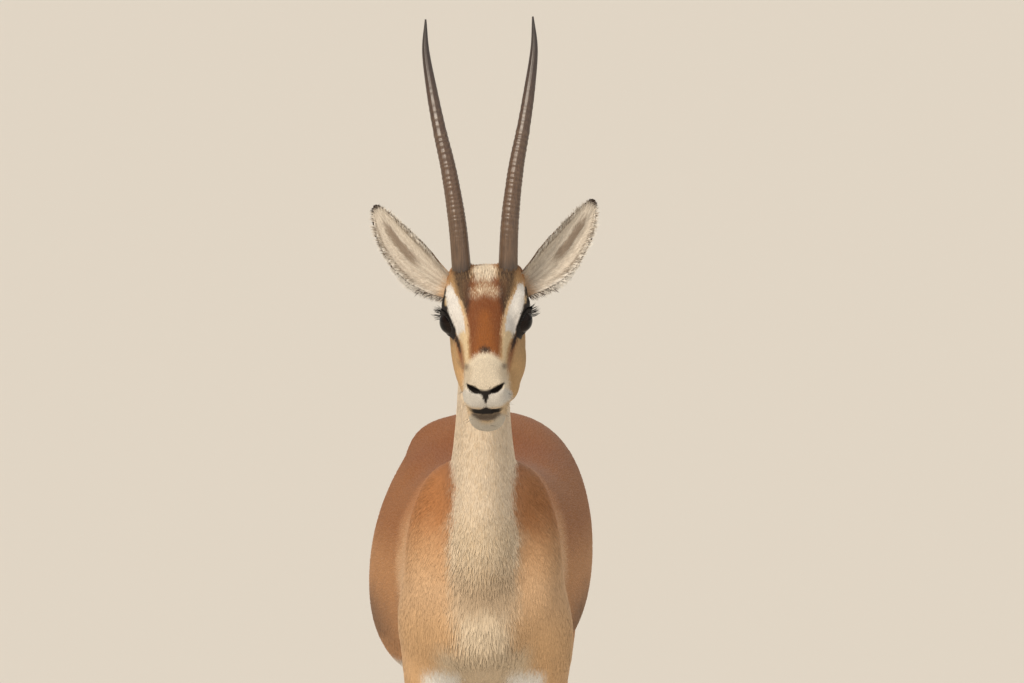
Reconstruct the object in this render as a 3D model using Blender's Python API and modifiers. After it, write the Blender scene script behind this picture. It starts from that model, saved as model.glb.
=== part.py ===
"""An adult female gazelle standing still, life-size, in metres, +Z up, facing -Y.

The flesh is modelled whole from oval sections and muscle masses, fused, softened and then
parted by thin cuts. Horns, ears, eyes, hooves and the tail's hair are set into it. The
animal's left is +X.
"""

import math
import random
from collections import namedtuple

import bmesh
import bpy
import numpy as np
from mathutils import Matrix, Vector

# Driving dimensions. Heights are above the ground, y is from the middle of the trunk.
GAP = 0.0003
FRAME_X = 0.0042
FRAME_Y = 0.0846
EYE_CENTRE = Vector((0.004, -0.500, 1.000))
HEAD_PITCH = math.radians(37.0)
HEAD_ROLL = math.radians(-1.6)
HEAD_YAW = math.radians(-1.4)
EYE_RADIUS = 0.0185
EYE_PLACE = Vector((0.0412, 0.0, 0.0))
HORN_BASE_RADIUS = 0.0124
HORN_DEPTH_RATIO = 1.15
HORN_RINGS = 21
RING_RELIEF = 0.0012
EAR_HALF_WIDTH = 0.0270
EAR_THICKNESS = 0.0026
HOOF_LENGTH = 0.058
HOOF_WIDTH = 0.0165
HOOF_CLEFT = 0.0018
HOOF_SPLAY = math.radians(3.0)
CORONET_FRONT = 0.036
CORONET_REAR = 0.022
CORONET_SHARE = 0.68
TUFT_LENGTH = 0.115
TUFT_LOCKS = 9
TUFT_SEED = 7
LOCK_HALF_WIDTH = 0.0095
LOCK_HALF_DEPTH = 0.0048
LOCK_BOW = 0.010

# Resolution: voxel sizes, rounds of softening, points round each section, triangles kept.
TRUNK_VOXEL = 0.0080
BODY_VOXEL = 0.0050
SKULL_VOXEL = 0.0032
HEAD_VOXEL = 0.0022
TRUNK_SOFTENING = 14
BODY_SOFTENING = 5
SKULL_SOFTENING = 10
HEAD_SOFTENING = 4
TRUNK_POINTS = 36
NECK_POINTS = 28
LEG_POINTS = 24
HEAD_POINTS = 32
TAIL_POINTS = 12
BODY_TRIANGLES = 5900
HEAD_TRIANGLES = 2900
SIDES = {"left": 1.0, "right": -1.0}

# A trunk section stands across y. top, bottom and widest are heights.
Trunk = namedtuple("Trunk", "y top bottom widest half_width")
TRUNK = (
    Trunk(-0.372, 0.672, 0.590, 0.630, 0.022),
    Trunk(-0.352, 0.715, 0.545, 0.625, 0.056),
    Trunk(-0.310, 0.765, 0.508, 0.620, 0.082),
    Trunk(-0.250, 0.796, 0.492, 0.620, 0.097),
    Trunk(-0.180, 0.803, 0.486, 0.620, 0.112),
    Trunk(-0.090, 0.792, 0.477, 0.622, 0.132),
    Trunk(0.000, 0.788, 0.470, 0.625, 0.148),
    Trunk(0.080, 0.801, 0.473, 0.630, 0.153),
    Trunk(0.150, 0.818, 0.495, 0.653, 0.147),
    Trunk(0.220, 0.829, 0.535, 0.680, 0.134),
    Trunk(0.290, 0.824, 0.575, 0.692, 0.114),
    Trunk(0.350, 0.799, 0.615, 0.695, 0.088),
    Trunk(0.385, 0.762, 0.645, 0.697, 0.052),
    Trunk(0.396, 0.725, 0.670, 0.697, 0.020),
)
BELLY_SWING = 0.022
BELLY_SWING_Y = 0.030
BELLY_SWING_REACH = 0.200
RUMP_SWING = 0.010
RUMP_SWING_START = -0.25
RUMP_SWING_REACH = 0.50

# A neck section runs from the nape to the throat.
Neck = namedtuple("Neck", "nape_y nape_z throat_y throat_z half_width")
NECK = (
    Neck(-0.150, 0.770, -0.350, 0.560, 0.078),
    Neck(-0.200, 0.812, -0.385, 0.640, 0.058),
    Neck(-0.248, 0.850, -0.397, 0.712, 0.0460),
    Neck(-0.290, 0.898, -0.405, 0.782, 0.0395),
    Neck(-0.322, 0.950, -0.414, 0.845, 0.0360),
    Neck(-0.347, 1.000, -0.425, 0.902, 0.0340),
    Neck(-0.368, 1.036, -0.438, 0.946, 0.0335),
    Neck(-0.405, 1.056, -0.462, 0.972, 0.0335),
)

# A leg section lies flat at height z, from front to rear, with its middle x out from the midline.
Leg = namedtuple("Leg", "z front rear x half_width")
FORELEG = (
    Leg(0.610, -0.322, -0.200, 0.073, 0.034),
    Leg(0.550, -0.305, -0.184, 0.075, 0.036),
    Leg(0.505, -0.288, -0.182, 0.074, 0.033),
    Leg(0.465, -0.278, -0.194, 0.072, 0.029),
    Leg(0.420, -0.270, -0.206, 0.070, 0.025),
    Leg(0.365, -0.264, -0.213, 0.068, 0.0205),
    Leg(0.325, -0.261, -0.216, 0.0668, 0.0185),
    Leg(0.292, -0.262, -0.216, 0.0660, 0.0200),
    Leg(0.262, -0.259, -0.217, 0.0655, 0.0186),
    Leg(0.235, -0.253, -0.219, 0.0650, 0.0148),
    Leg(0.190, -0.250, -0.219, 0.0645, 0.0130),
    Leg(0.135, -0.250, -0.218, 0.0635, 0.0130),
    Leg(0.105, -0.254, -0.214, 0.0630, 0.0162),
    Leg(0.085, -0.258, -0.217, 0.0630, 0.0162),
    Leg(0.064, -0.263, -0.225, 0.0630, 0.0156),
    Leg(0.044, -0.272, -0.232, 0.0630, 0.0168),
    Leg(0.022, -0.281, -0.236, 0.0630, 0.0172),
)
HINDLEG = (
    Leg(0.740, 0.175, 0.372, 0.060, 0.036),
    Leg(0.680, 0.135, 0.397, 0.069, 0.048),
    Leg(0.620, 0.118, 0.398, 0.072, 0.049),
    Leg(0.570, 0.119, 0.387, 0.074, 0.0455),
    Leg(0.525, 0.134, 0.374, 0.0755, 0.0405),
    Leg(0.485, 0.168, 0.368, 0.076, 0.0345),
    Leg(0.445, 0.214, 0.368, 0.0760, 0.0280),
    Leg(0.405, 0.262, 0.376, 0.0750, 0.0220),
    Leg(0.372, 0.294, 0.387, 0.0740, 0.0192),
    Leg(0.342, 0.312, 0.388, 0.0735, 0.0196),
    Leg(0.312, 0.321, 0.374, 0.0730, 0.0186),
    Leg(0.282, 0.324, 0.361, 0.0725, 0.0158),
    Leg(0.240, 0.3225, 0.3545, 0.0720, 0.0136),
    Leg(0.180, 0.3195, 0.3515, 0.0710, 0.0130),
    Leg(0.130, 0.3175, 0.3510, 0.0700, 0.0136),
    Leg(0.105, 0.3130, 0.3530, 0.0700, 0.0164),
    Leg(0.085, 0.3070, 0.3480, 0.0700, 0.0164),
    Leg(0.064, 0.2990, 0.3370, 0.0700, 0.0158),
    Leg(0.044, 0.2900, 0.3310, 0.0700, 0.0170),
    Leg(0.022, 0.2810, 0.3270, 0.0700, 0.0174),
)
# How far each foot stands behind its place in the tables, for an easy stance.
STRIDES = {
    ("fore", "left"): 0.012,
    ("fore", "right"): -0.014,
    ("hind", "left"): 0.030,
    ("hind", "right"): -0.018,
}
STRIDE_TOP = 0.55

# A head section stands across u, which runs from the eyes to the nose. v is up from the eyes.
Head = namedtuple("Head", "u top bottom widest half_width")
SKULL = (
    Head(-0.112, -0.006, -0.030, -0.016, 0.0215),
    Head(-0.096, 0.011, -0.045, -0.010, 0.0340),
    Head(-0.070, 0.0350, -0.050, 0.000, 0.0435),
    Head(-0.045, 0.0470, -0.050, 0.006, 0.0450),
    Head(-0.010, 0.0480, -0.050, 0.006, 0.0435),
    Head(0.020, 0.0405, -0.047, -0.004, 0.0385),
    Head(0.045, 0.0335, -0.041, -0.008, 0.0350),
    Head(0.070, 0.0280, -0.036, -0.008, 0.0315),
    Head(0.095, 0.0230, -0.034, -0.010, 0.0295),
    Head(0.115, 0.0195, -0.034, -0.012, 0.0295),
    Head(0.132, 0.0150, -0.0350, -0.014, 0.0305),
    Head(0.145, 0.0070, -0.0345, -0.016, 0.0285),
    Head(0.153, -0.0050, -0.0300, -0.018, 0.0210),
)
JAW = (
    Head(-0.088, -0.020, -0.060, -0.040, 0.030),
    Head(-0.062, -0.010, -0.075, -0.036, 0.0425),
    Head(-0.030, -0.010, -0.078, -0.036, 0.0500),
    Head(0.000, -0.010, -0.075, -0.038, 0.0490),
    Head(0.030, -0.018, -0.071, -0.042, 0.0465),
    Head(0.060, -0.024, -0.067, -0.045, 0.0410),
    Head(0.085, -0.027, -0.067, -0.047, 0.0340),
    Head(0.105, -0.027, -0.072, -0.049, 0.0285),
    Head(0.123, -0.026, -0.077, -0.052, 0.0262),
    Head(0.139, -0.026, -0.073, -0.050, 0.0222),
)
TRUNK_SQUARENESS = 2.35
NECK_SQUARENESS = 2.10
LEG_SQUARENESS = 2.15
HEAD_SQUARENESS = 2.25

# A mass is an ellipsoid of muscle or bone, given for the animal's left side, with half sizes.
Mass = namedtuple("Mass", "x y z long deep wide pitch splay")
BODY_MASSES = {
    "shoulder blade": Mass(0.064, -0.262, 0.690, 0.130, 0.066, 0.042, 50, 8),
    "upper arm": Mass(0.074, -0.262, 0.590, 0.092, 0.070, 0.044, -42, 0),
    "point of shoulder": Mass(0.054, -0.300, 0.640, 0.072, 0.052, 0.046, 60, 0),
    "breast": Mass(0.000, -0.312, 0.606, 0.092, 0.062, 0.072, 60, 0),
    "elbow": Mass(0.080, -0.190, 0.520, 0.034, 0.022, 0.020, 60, 0),
    "loin": Mass(0.083, 0.085, 0.752, 0.115, 0.032, 0.026, 4, 0),
    "hip": Mass(0.077, 0.170, 0.752, 0.070, 0.034, 0.034, 10, 0),
    "sacrum": Mass(0.000, 0.225, 0.779, 0.185, 0.052, 0.074, 0, 0),
    "croup": Mass(0.050, 0.265, 0.755, 0.115, 0.062, 0.062, -14, 0),
    "haunch": Mass(0.080, 0.270, 0.655, 0.125, 0.090, 0.046, -70, 6),
    "buttock": Mass(0.058, 0.365, 0.650, 0.090, 0.036, 0.040, 84, 0),
    "stifle": Mass(0.091, 0.164, 0.548, 0.048, 0.034, 0.028, 60, 0),
}
# The animal stands with its weight a little to its left, so that upper arm stands out more.
LEANING_MASSES = {
    "upper arm": Mass(0.0810, -0.258, 0.565, 0.092, 0.066, 0.0430, -42, 0),
    "forearm": Mass(0.0790, -0.233, 0.500, 0.052, 0.040, 0.0370, 90, 0),
}
# Two dewclaws stand behind each fetlock: out from the leg's middle, behind it and at a height.
DEWCLAW = Mass(0.0100, 0.0005, 0.083, 0.0105, 0.0068, 0.0064, -62, 0)
# The head's masses stand in the head's own frame: x out, u forward and v up.
HEAD_MASSES = {
    "brow": Mass(0.0400, -0.010, 0.018, 0.026, 0.012, 0.012, 0, -25),
    "orbit rim": Mass(0.0445, -0.021, 0.009, 0.021, 0.016, 0.0150, 0, 0),
    "temple": Mass(0.0405, -0.037, 0.018, 0.023, 0.015, 0.0150, 0, 0),
    "orbit": Mass(0.0385, -0.008, 0.002, 0.025, 0.023, 0.0145, 0, 0),
    "cheek bone": Mass(0.032, 0.020, -0.018, 0.046, 0.016, 0.012, 0, 0),
    "horn core": Mass(0.029, -0.045, 0.034, 0.026, 0.022, 0.020, 0, 0),
    "ear root": Mass(0.035, -0.068, 0.008, 0.026, 0.026, 0.018, 0, 0),
    "nose wing": Mass(0.018, 0.136, 0.000, 0.014, 0.014, 0.011, 0, 0),
    "upper lip": Mass(0.014, 0.140, -0.012, 0.014, 0.012, 0.016, 0, 0),
    "lower lip": Mass(0.008, 0.137, -0.036, 0.014, 0.011, 0.015, 0, 0),
}
# The animal chews on its left side, so that cheek is the fuller one.
CHEWING_MASSES = {
    "full cheek": Mass(0.0350, 0.024, -0.042, 0.052, 0.023, 0.0170, 0, 0),
    "cheek end": Mass(0.0290, 0.064, -0.046, 0.038, 0.021, 0.0150, 0, 0),
    "jaw muscle": Mass(0.0345, -0.008, -0.040, 0.036, 0.030, 0.0165, 0, 0),
}

# The lids ring each eye, in the head's own frame: their radius, thickness, way out and facing.
LID_RADIUS = 0.0172
LID_THICKNESS = 0.0036
LID_OUT = 0.0088
LID_FACING = Vector((1.0, 0.50, 0.16))
LID_BEADS = 30

# The mouth is a bent slab cut, from its corners to past the lips.
MOUTH_FRONT = 0.175
MOUTH_CORNER = 0.088
MOUTH_LEVEL = -0.0240
MOUTH_CORNER_RISE = 0.001
MOUTH_RISE = 5.0
MOUTH_OPENING = 0.0058
MOUTH_CORNER_SHARE = 0.45
MOUTH_HALF_WIDTH = 0.036
MOUTH_STEPS = 12

# A nostril's comma runs from its inner end to its outer end, and in along its depth.
NOSTRIL_INNER = Vector((0.0065, 0.1470, 0.0040))
NOSTRIL_OUTER = Vector((0.0250, 0.1370, 0.0105))
NOSTRIL_FACING = Vector((0.35, 0.75, 0.55))
NOSTRIL_HALF_HEIGHT = 0.0034
NOSTRIL_DEPTH = 0.0085

# Horn stations in the upright head frame: out, back, up from the eyes, and thickness ratio.
HORN_STATIONS = (
    (0.0300, 0.012, 0.052, 1.02),
    (0.0305, 0.012, 0.072, 1.00),
    (0.0345, 0.014, 0.130, 0.92),
    (0.0436, 0.026, 0.195, 0.80),
    (0.0545, 0.042, 0.247, 0.68),
    (0.0637, 0.060, 0.298, 0.57),
    (0.0707, 0.073, 0.349, 0.38),
    (0.0700, 0.079, 0.391, 0.09),
)
RINGED_SHARE = 0.66
HORN_SIDES = 10

# Ear line in the upright head frame: out, back and up from the eyes.
EAR_ROOT = Vector((0.0430, 0.050, 0.040))
EAR_BEND = Vector((0.1060, 0.060, 0.074))
EAR_TIP = Vector((0.1430, 0.064, 0.151))
# Ear width and cup by share of the length: half width ratio and depth of the cup to its width.
EAR_SHAPE = (
    (0.00, 0.52, 1.15),
    (0.15, 0.74, 0.90),
    (0.35, 0.97, 0.62),
    (0.50, 1.00, 0.50),
    (0.70, 0.84, 0.38),
    (0.85, 0.56, 0.26),
    (0.95, 0.27, 0.12),
    (1.00, 0.07, 0.02),
)
EAR_ROWS = 12
EAR_COLUMNS = 7

# The dock of the tail: x, y, height and thickness ratio down its middle line.
TAIL_LINE = (
    (0.000, 0.372, 0.762, 1.00),
    (0.000, 0.404, 0.748, 1.00),
    (0.000, 0.428, 0.716, 0.85),
    (0.001, 0.436, 0.672, 0.68),
    (0.002, 0.437, 0.630, 0.52),
    (0.003, 0.436, 0.590, 0.36),
    (0.003, 0.436, 0.570, 0.20),
)
TAIL_HALF_WIDTH = 0.0155
TAIL_HALF_DEPTH = 0.0105

# A claw's outline by share of its length behind the toe and of its width from the cleft, and its
# levels: height, or 1 for the coronet, then how far it spreads and reaches there.
HOOF_OUTLINE = (
    (0.00, 0.16), (0.00, 0.62), (-0.05, 0.90), (-0.30, 1.00), (-0.60, 0.92),
    (-0.82, 0.66), (-0.95, 0.36), (-1.00, 0.14), (-0.97, 0.02), (-0.60, 0.00), (-0.20, 0.00),
)
HOOF_LEVELS = ((0.0, 1.0, 1.0), (0.004, 1.04, 1.01), (0.014, 1.01, 0.91), (1.0, 0.90, 0.69))
# The tuft's core: its line down the dock, half sizes, and their ratios by share of the line.
TUFT_START = Vector((RUMP_SWING + 0.002, 0.4365, 0.640))
TUFT_END = Vector((RUMP_SWING + 0.003, 0.4365, 0.575))
TUFT_CORE_DROP = 0.030
TUFT_CORE_HALF = (0.0092, 0.0080)
TUFT_CORE = ((0.0, 0.5), (0.2, 1.0), (0.6, 0.9), (1.0, 0.3))
LOCK_SHAPE = ((0.0, 0.55), (0.25, 1.0), (0.5, 0.95), (0.75, 0.62), (1.0, 0.10))

# The thin cuts that part the flesh: a point on each plane and the way that it faces.
HEAD_CUT = (Vector((0.0, -0.398, 0.978)), Vector((0.0, -0.832, 0.555)))
NECK_CUT = (Vector((0.0, -0.292, 0.726)), Vector((0.0, -0.681, 0.732)))
ELBOW_HEIGHT = 0.477
ELBOW_REAR = -0.125
THIGH_TOP = (Vector((0.0, 0.118, 0.560)), Vector((0.0, 0.205, -0.979)))
THIGH_FRONT = (Vector((0.0, 0.118, 0.560)), Vector((0.0, 0.838, 0.545)))
THIGH_INNER = 0.020
STIFLE_HEIGHT = 0.464


def clear_scene():
    """Remove whatever the scene holds."""
    for item in list(bpy.data.objects):
        bpy.data.objects.remove(item, do_unlink=True)


def make_collection(name):
    """Make a collection under the scene's own."""
    collection = bpy.data.collections.new(name)
    bpy.context.scene.collection.children.link(collection)
    return collection


def make_material(name, colour, roughness):
    """Make a plain material from a linear colour and a roughness."""
    material = bpy.data.materials.new(name)
    material.use_nodes = True
    shader = material.node_tree.nodes["Principled BSDF"]
    shader.inputs["Base Color"].default_value = (*colour, 1.0)
    shader.inputs["Roughness"].default_value = roughness
    shader.inputs["Metallic"].default_value = 0.0
    material.diffuse_color = (*colour, 1.0)
    return material


def add_object(name, mesh, collection, material=None):
    """Put a mesh in the scene as an object."""
    item = bpy.data.objects.new(name, mesh)
    collection.objects.link(item)
    if material:
        mesh.materials.clear()
        mesh.materials.append(material)
    return item


def to_mesh(name, shape):
    """Turn a bmesh into a mesh with its faces pointing out."""
    bmesh.ops.recalc_face_normals(shape, faces=shape.faces)
    mesh = bpy.data.meshes.new(name)
    shape.to_mesh(mesh)
    shape.free()
    return mesh


def unit_oval(count, squareness):
    """Points round an oval of half sizes 1, squarer as squareness passes 2."""
    power = 2.0 / squareness
    points = []
    for step in range(count):
        angle = 2.0 * math.pi * step / count
        across, along = math.cos(angle), math.sin(angle)
        points.append((
            math.copysign(abs(across) ** power, across),
            math.copysign(abs(along) ** power, along),
        ))
    return points


def smooth_rows(rows, steps):
    """Read rows of numbers off a smooth curve through them, with steps between each pair."""
    table = [np.array(row, dtype=float) for row in rows]
    table = [2.0 * table[0] - table[1]] + table + [2.0 * table[-1] - table[-2]]
    result = []
    for before, start, end, after in zip(table, table[1:], table[2:], table[3:]):
        for step in range(steps):
            t = step / steps
            result.append(0.5 * (
                2.0 * start
                + (end - before) * t
                + (2.0 * before - 5.0 * start + 4.0 * end - after) * t ** 2
                + (3.0 * start - before - 3.0 * end + after) * t ** 3
            ))
    result.append(table[-2])
    return result


def add_loft(shape, rings):
    """Add a closed loft through rings of equal count to a bmesh."""
    made = [[shape.verts.new(point) for point in ring] for ring in rings]
    count = len(made[0])
    faces = []
    for low, high in zip(made, made[1:]):
        for step in range(count):
            after = (step + 1) % count
            faces.append(shape.faces.new((low[step], low[after], high[after], high[step])))
    faces.append(shape.faces.new(made[0][::-1]))
    faces.append(shape.faces.new(made[-1]))
    bmesh.ops.recalc_face_normals(shape, faces=faces)


def add_mass(shape, mass, side, frame=Matrix.Identity(4)):
    """Add one ellipsoid of muscle to a bmesh."""
    turn = Matrix.Rotation(math.radians(-mass.splay) * side, 4, "Y")
    turn = turn @ Matrix.Rotation(math.radians(mass.pitch), 4, "X")
    size = Matrix.Diagonal((mass.wide, mass.long, mass.deep, 1.0))
    place = Matrix.Translation((mass.x * side, mass.y, mass.z))
    bmesh.ops.create_uvsphere(
        shape, u_segments=24, v_segments=14, radius=1.0, matrix=frame @ place @ turn @ size
    )


def upright_frame():
    """The head's upright frame: x out, y back and z up from between the eyes, rolled and turned."""
    turn = Matrix.Rotation(HEAD_YAW, 4, "Z") @ Matrix.Rotation(HEAD_ROLL, 4, "Y")
    return Matrix.Translation(EYE_CENTRE) @ turn


def head_frame():
    """The head's own frame: x out, y forward along the face and z up from it."""
    forward = Vector((0.0, -math.cos(HEAD_PITCH), -math.sin(HEAD_PITCH)))
    up = Vector((0.0, -math.sin(HEAD_PITCH), math.cos(HEAD_PITCH)))
    axes = Matrix.Identity(4)
    axes.col[1][:3] = forward
    axes.col[2][:3] = up
    return upright_frame() @ axes


def trunk_rings():
    """Rings across the trunk, with the belly hung and the rump turned a little to the sides."""
    rings = []
    for row in smooth_rows(TRUNK, 4):
        section = Trunk(*row)
        hang = BELLY_SWING * math.exp(-((section.y - BELLY_SWING_Y) / BELLY_SWING_REACH) ** 2)
        turn = RUMP_SWING * min(max((section.y - RUMP_SWING_START) / RUMP_SWING_REACH, 0.0), 1.0)
        ring = []
        for across, along in unit_oval(TRUNK_POINTS, TRUNK_SQUARENESS):
            reach = section.top - section.widest if along > 0.0 else section.widest - section.bottom
            height = section.widest + reach * along
            low = (section.top - height) / (section.top - section.bottom)
            ring.append((section.half_width * across + turn - hang * low, section.y, height))
        rings.append(ring)
    return rings


def neck_rings(rows):
    """Rings across the neck."""
    rings = []
    for row in smooth_rows(rows, 4):
        section = Neck(*row)
        nape = Vector((0.0, section.nape_y, section.nape_z))
        throat = Vector((0.0, section.throat_y, section.throat_z))
        middle, reach = (nape + throat) / 2.0, (nape - throat) / 2.0
        rings.append([
            middle + reach * along + Vector((section.half_width * across, 0.0, 0.0))
            for across, along in unit_oval(NECK_POINTS, NECK_SQUARENESS)
        ])
    return rings


def leg_rings(rows, end, side_name):
    """Rings down one leg."""
    stride = STRIDES[end, side_name]
    swing = RUMP_SWING if end == "hind" else 0.0
    rings = []
    for row in smooth_rows(rows, 3):
        section = Leg(*row)
        middle = (section.front + section.rear) / 2.0
        middle += stride * max(1.0 - section.z / STRIDE_TOP, 0.0)
        reach = (section.rear - section.front) / 2.0
        centre = SIDES[side_name] * section.x + swing
        rings.append([
            (centre + section.half_width * across, middle + reach * along, section.z)
            for across, along in unit_oval(LEG_POINTS, LEG_SQUARENESS)
        ])
    return rings


def head_rings(rows):
    """Rings across the skull or the jaw."""
    frame = head_frame()
    rings = []
    for row in smooth_rows(rows, 4):
        section = Head(*row)
        ring = []
        for across, along in unit_oval(HEAD_POINTS, HEAD_SQUARENESS):
            reach = section.top - section.widest if along > 0.0 else section.widest - section.bottom
            place = Vector((section.half_width * across, section.u, section.widest + reach * along))
            ring.append(frame @ place)
        rings.append(ring)
    return rings


def fused_mesh(name, shape, voxel, softening, triangles=None):
    """Fuse overlapping closed shells into one skin, soften it and thin its triangles if asked."""
    item = add_object(name, to_mesh(name, shape), bpy.context.scene.collection)
    remesh = item.modifiers.new("fuse", "REMESH")
    remesh.mode = "VOXEL"
    remesh.voxel_size = voxel
    smooth = item.modifiers.new("soften", "SMOOTH")
    smooth.factor = 0.5
    smooth.iterations = softening
    mesh = evaluated_mesh(item)
    fused = add_object(name, mesh, bpy.context.scene.collection)
    faces = sum(len(face.vertices) - 2 for face in mesh.polygons)
    decimate = fused.modifiers.new("thin", "DECIMATE")
    decimate.ratio = triangles / faces if triangles else 1.0
    result = evaluated_mesh(fused)
    bpy.data.objects.remove(item, do_unlink=True)
    bpy.data.objects.remove(fused, do_unlink=True)
    return largest_surface(result)


def evaluated_mesh(item):
    """A new mesh of an object with its modifiers applied."""
    bpy.context.view_layer.update()
    graph = bpy.context.evaluated_depsgraph_get()
    return bpy.data.meshes.new_from_object(item.evaluated_get(graph))


def largest_surface(mesh):
    """Keep only the largest closed surface of a mesh, by its volume."""
    shape = bmesh.new()
    shape.from_mesh(mesh)
    bmesh.ops.remove_doubles(shape, verts=shape.verts, dist=1e-6)
    bmesh.ops.dissolve_degenerate(shape, edges=shape.edges, dist=1e-6)
    bmesh.ops.triangulate(shape, faces=shape.faces)
    islands, seen = [], set()
    for start in shape.faces:
        if start in seen:
            continue
        seen.add(start)
        island, stack = [], [start]
        while stack:
            face = stack.pop()
            island.append(face)
            for edge in face.edges:
                for other in edge.link_faces:
                    if other not in seen:
                        seen.add(other)
                        stack.append(other)
        islands.append(island)

    def volume(island):
        """The volume inside one island of faces."""
        corners = ([vert.co for vert in face.verts] for face in island)
        return sum(a.dot(b.cross(c)) / 6.0 for a, b, c in corners)

    islands.sort(key=volume)
    scraps = [face for island in islands[:-1] for face in island]
    bmesh.ops.delete(shape, geom=scraps, context="FACES")
    return to_mesh(mesh.name, shape)


def cut_by(mesh, point, facing):
    """Keep the side of a closed mesh that a plane faces, set half a gap back from it."""
    shape = bmesh.new()
    shape.from_mesh(mesh)
    bmesh.ops.bisect_plane(
        shape,
        geom=[*shape.verts, *shape.edges, *shape.faces],
        dist=1e-7,
        plane_co=point + facing.normalized() * GAP / 2.0,
        plane_no=facing,
        clear_inner=True,
    )
    rim = [edge for edge in shape.edges if edge.is_boundary]
    bmesh.ops.holes_fill(shape, edges=rim, sides=0)
    bmesh.ops.recalc_face_normals(shape, faces=shape.faces)
    return largest_surface(to_mesh(mesh.name, shape))


def combine(mesh, others, operation, solver="EXACT"):
    """Apply one Boolean of a mesh with other closed meshes and return the largest surface."""
    tools = bpy.data.collections.new("tools")
    bpy.context.scene.collection.children.link(tools)
    for number, other in enumerate(others):
        add_object(f"tool_{number}", other, tools)
    item = add_object(mesh.name, mesh, bpy.context.scene.collection)
    boolean = item.modifiers.new("join", "BOOLEAN")
    boolean.operation = operation
    boolean.operand_type = "COLLECTION"
    boolean.collection = tools
    boolean.solver = solver
    result = evaluated_mesh(item)
    bpy.data.objects.remove(item, do_unlink=True)
    for tool in list(tools.objects):
        bpy.data.objects.remove(tool, do_unlink=True)
    bpy.data.collections.remove(tools)
    return largest_surface(result)


def wedge(low, high, planes, margin=0.0):
    """A box between two corners, trimmed to the side that each plane faces, grown by a margin."""
    shape = bmesh.new()
    size = Vector(high) - Vector(low)
    centre = (Vector(high) + Vector(low)) / 2.0
    grown = Matrix.Diagonal((*(size + Vector((margin, margin, margin)) * 2.0), 1.0))
    bmesh.ops.create_cube(shape, size=1.0, matrix=Matrix.Translation(centre) @ grown)
    for point, facing in planes:
        bmesh.ops.bisect_plane(
            shape,
            geom=[*shape.verts, *shape.edges, *shape.faces],
            dist=1e-7,
            plane_co=point - facing.normalized() * margin,
            plane_no=facing,
            clear_inner=True,
        )
        rim = [edge for edge in shape.edges if edge.is_boundary]
        bmesh.ops.holes_fill(shape, edges=rim, sides=0)
    bmesh.ops.recalc_face_normals(shape, faces=shape.faces)
    return to_mesh("wedge", shape)


def grown_mesh(mesh, distance):
    """A copy of a closed mesh pushed out along its normals."""
    shape = bmesh.new()
    shape.from_mesh(mesh)
    shape.normal_update()
    for vert, normal in [(vert, vert.normal.copy()) for vert in shape.verts]:
        vert.co += normal * distance
    return to_mesh("grown", shape)


def body_mesh():
    """The trunk, neck and legs as one skin, the trunk softened well before the legs join it."""
    trunk = bmesh.new()
    add_loft(trunk, trunk_rings())
    add_loft(trunk, neck_rings(NECK[:4]))
    for side_name, side in SIDES.items():
        add_loft(trunk, leg_rings(FORELEG[:4], "fore", side_name))
        add_loft(trunk, leg_rings(HINDLEG[:6], "hind", side_name))
        for mass in BODY_MASSES.values():
            add_mass(trunk, mass, side)
    for mass in LEANING_MASSES.values():
        add_mass(trunk, mass, SIDES["left"])
    shape = bmesh.new()
    shape.from_mesh(fused_mesh("trunk", trunk, TRUNK_VOXEL, TRUNK_SOFTENING))
    add_loft(shape, neck_rings(NECK))
    for side_name in SIDES:
        for end, rows in (("fore", FORELEG), ("hind", HINDLEG)):
            add_loft(shape, leg_rings(rows, end, side_name))
            add_dewclaws(shape, rows, end, side_name)
    return fused_mesh("body", shape, BODY_VOXEL, BODY_SOFTENING, BODY_TRIANGLES)


def add_dewclaws(shape, rows, end, side_name):
    """Add the two small claws behind a fetlock to a bmesh."""
    row = min((Leg(*row) for row in rows), key=lambda row: abs(row.z - DEWCLAW.z))
    middle = SIDES[side_name] * row.x + (RUMP_SWING if end == "hind" else 0.0)
    rear = row.rear + STRIDES[end, side_name] * (1.0 - DEWCLAW.z / STRIDE_TOP)
    for side in SIDES.values():
        place = (middle + side * DEWCLAW.x, rear + DEWCLAW.y)
        add_mass(shape, DEWCLAW._replace(x=place[0], y=place[1]), 1.0)


def head_mesh():
    """The head and the top of the neck as one skin, with sockets, nostrils and mouth."""
    shape = bmesh.new()
    frame = head_frame()
    skull = bmesh.new()
    add_loft(skull, head_rings(SKULL))
    add_loft(skull, head_rings(JAW))
    add_loft(skull, neck_rings(NECK[-4:]))
    for side in SIDES.values():
        for mass in HEAD_MASSES.values():
            add_mass(skull, mass, side, frame)
    for mass in CHEWING_MASSES.values():
        add_mass(skull, mass, 1.0, frame)
    shape.from_mesh(fused_mesh("skull", skull, SKULL_VOXEL, SKULL_SOFTENING))
    for side in SIDES.values():
        add_eyelids(shape, frame, side)
    mesh = fused_mesh("head", shape, HEAD_VOXEL, HEAD_SOFTENING, HEAD_TRIANGLES)
    cutters = [mouth_cutter(frame)]
    for side in SIDES.values():
        cutters.append(nostril_cutter(frame, side))
        cutters.append(eyeball(frame, side, EYE_RADIUS + GAP))
    return combine(mesh, cutters, "DIFFERENCE")


def eyeball(frame, side, radius):
    """An eyeball as a sphere whose poles point out of the head."""
    shape = bmesh.new()
    place = Matrix.Translation(Vector((EYE_PLACE.x * side, EYE_PLACE.y, EYE_PLACE.z)))
    turn = Matrix.Rotation(math.radians(90.0), 4, "Y")
    bmesh.ops.create_uvsphere(
        shape, u_segments=16, v_segments=10, radius=radius, matrix=frame @ place @ turn
    )
    return to_mesh("eye", shape)


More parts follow.
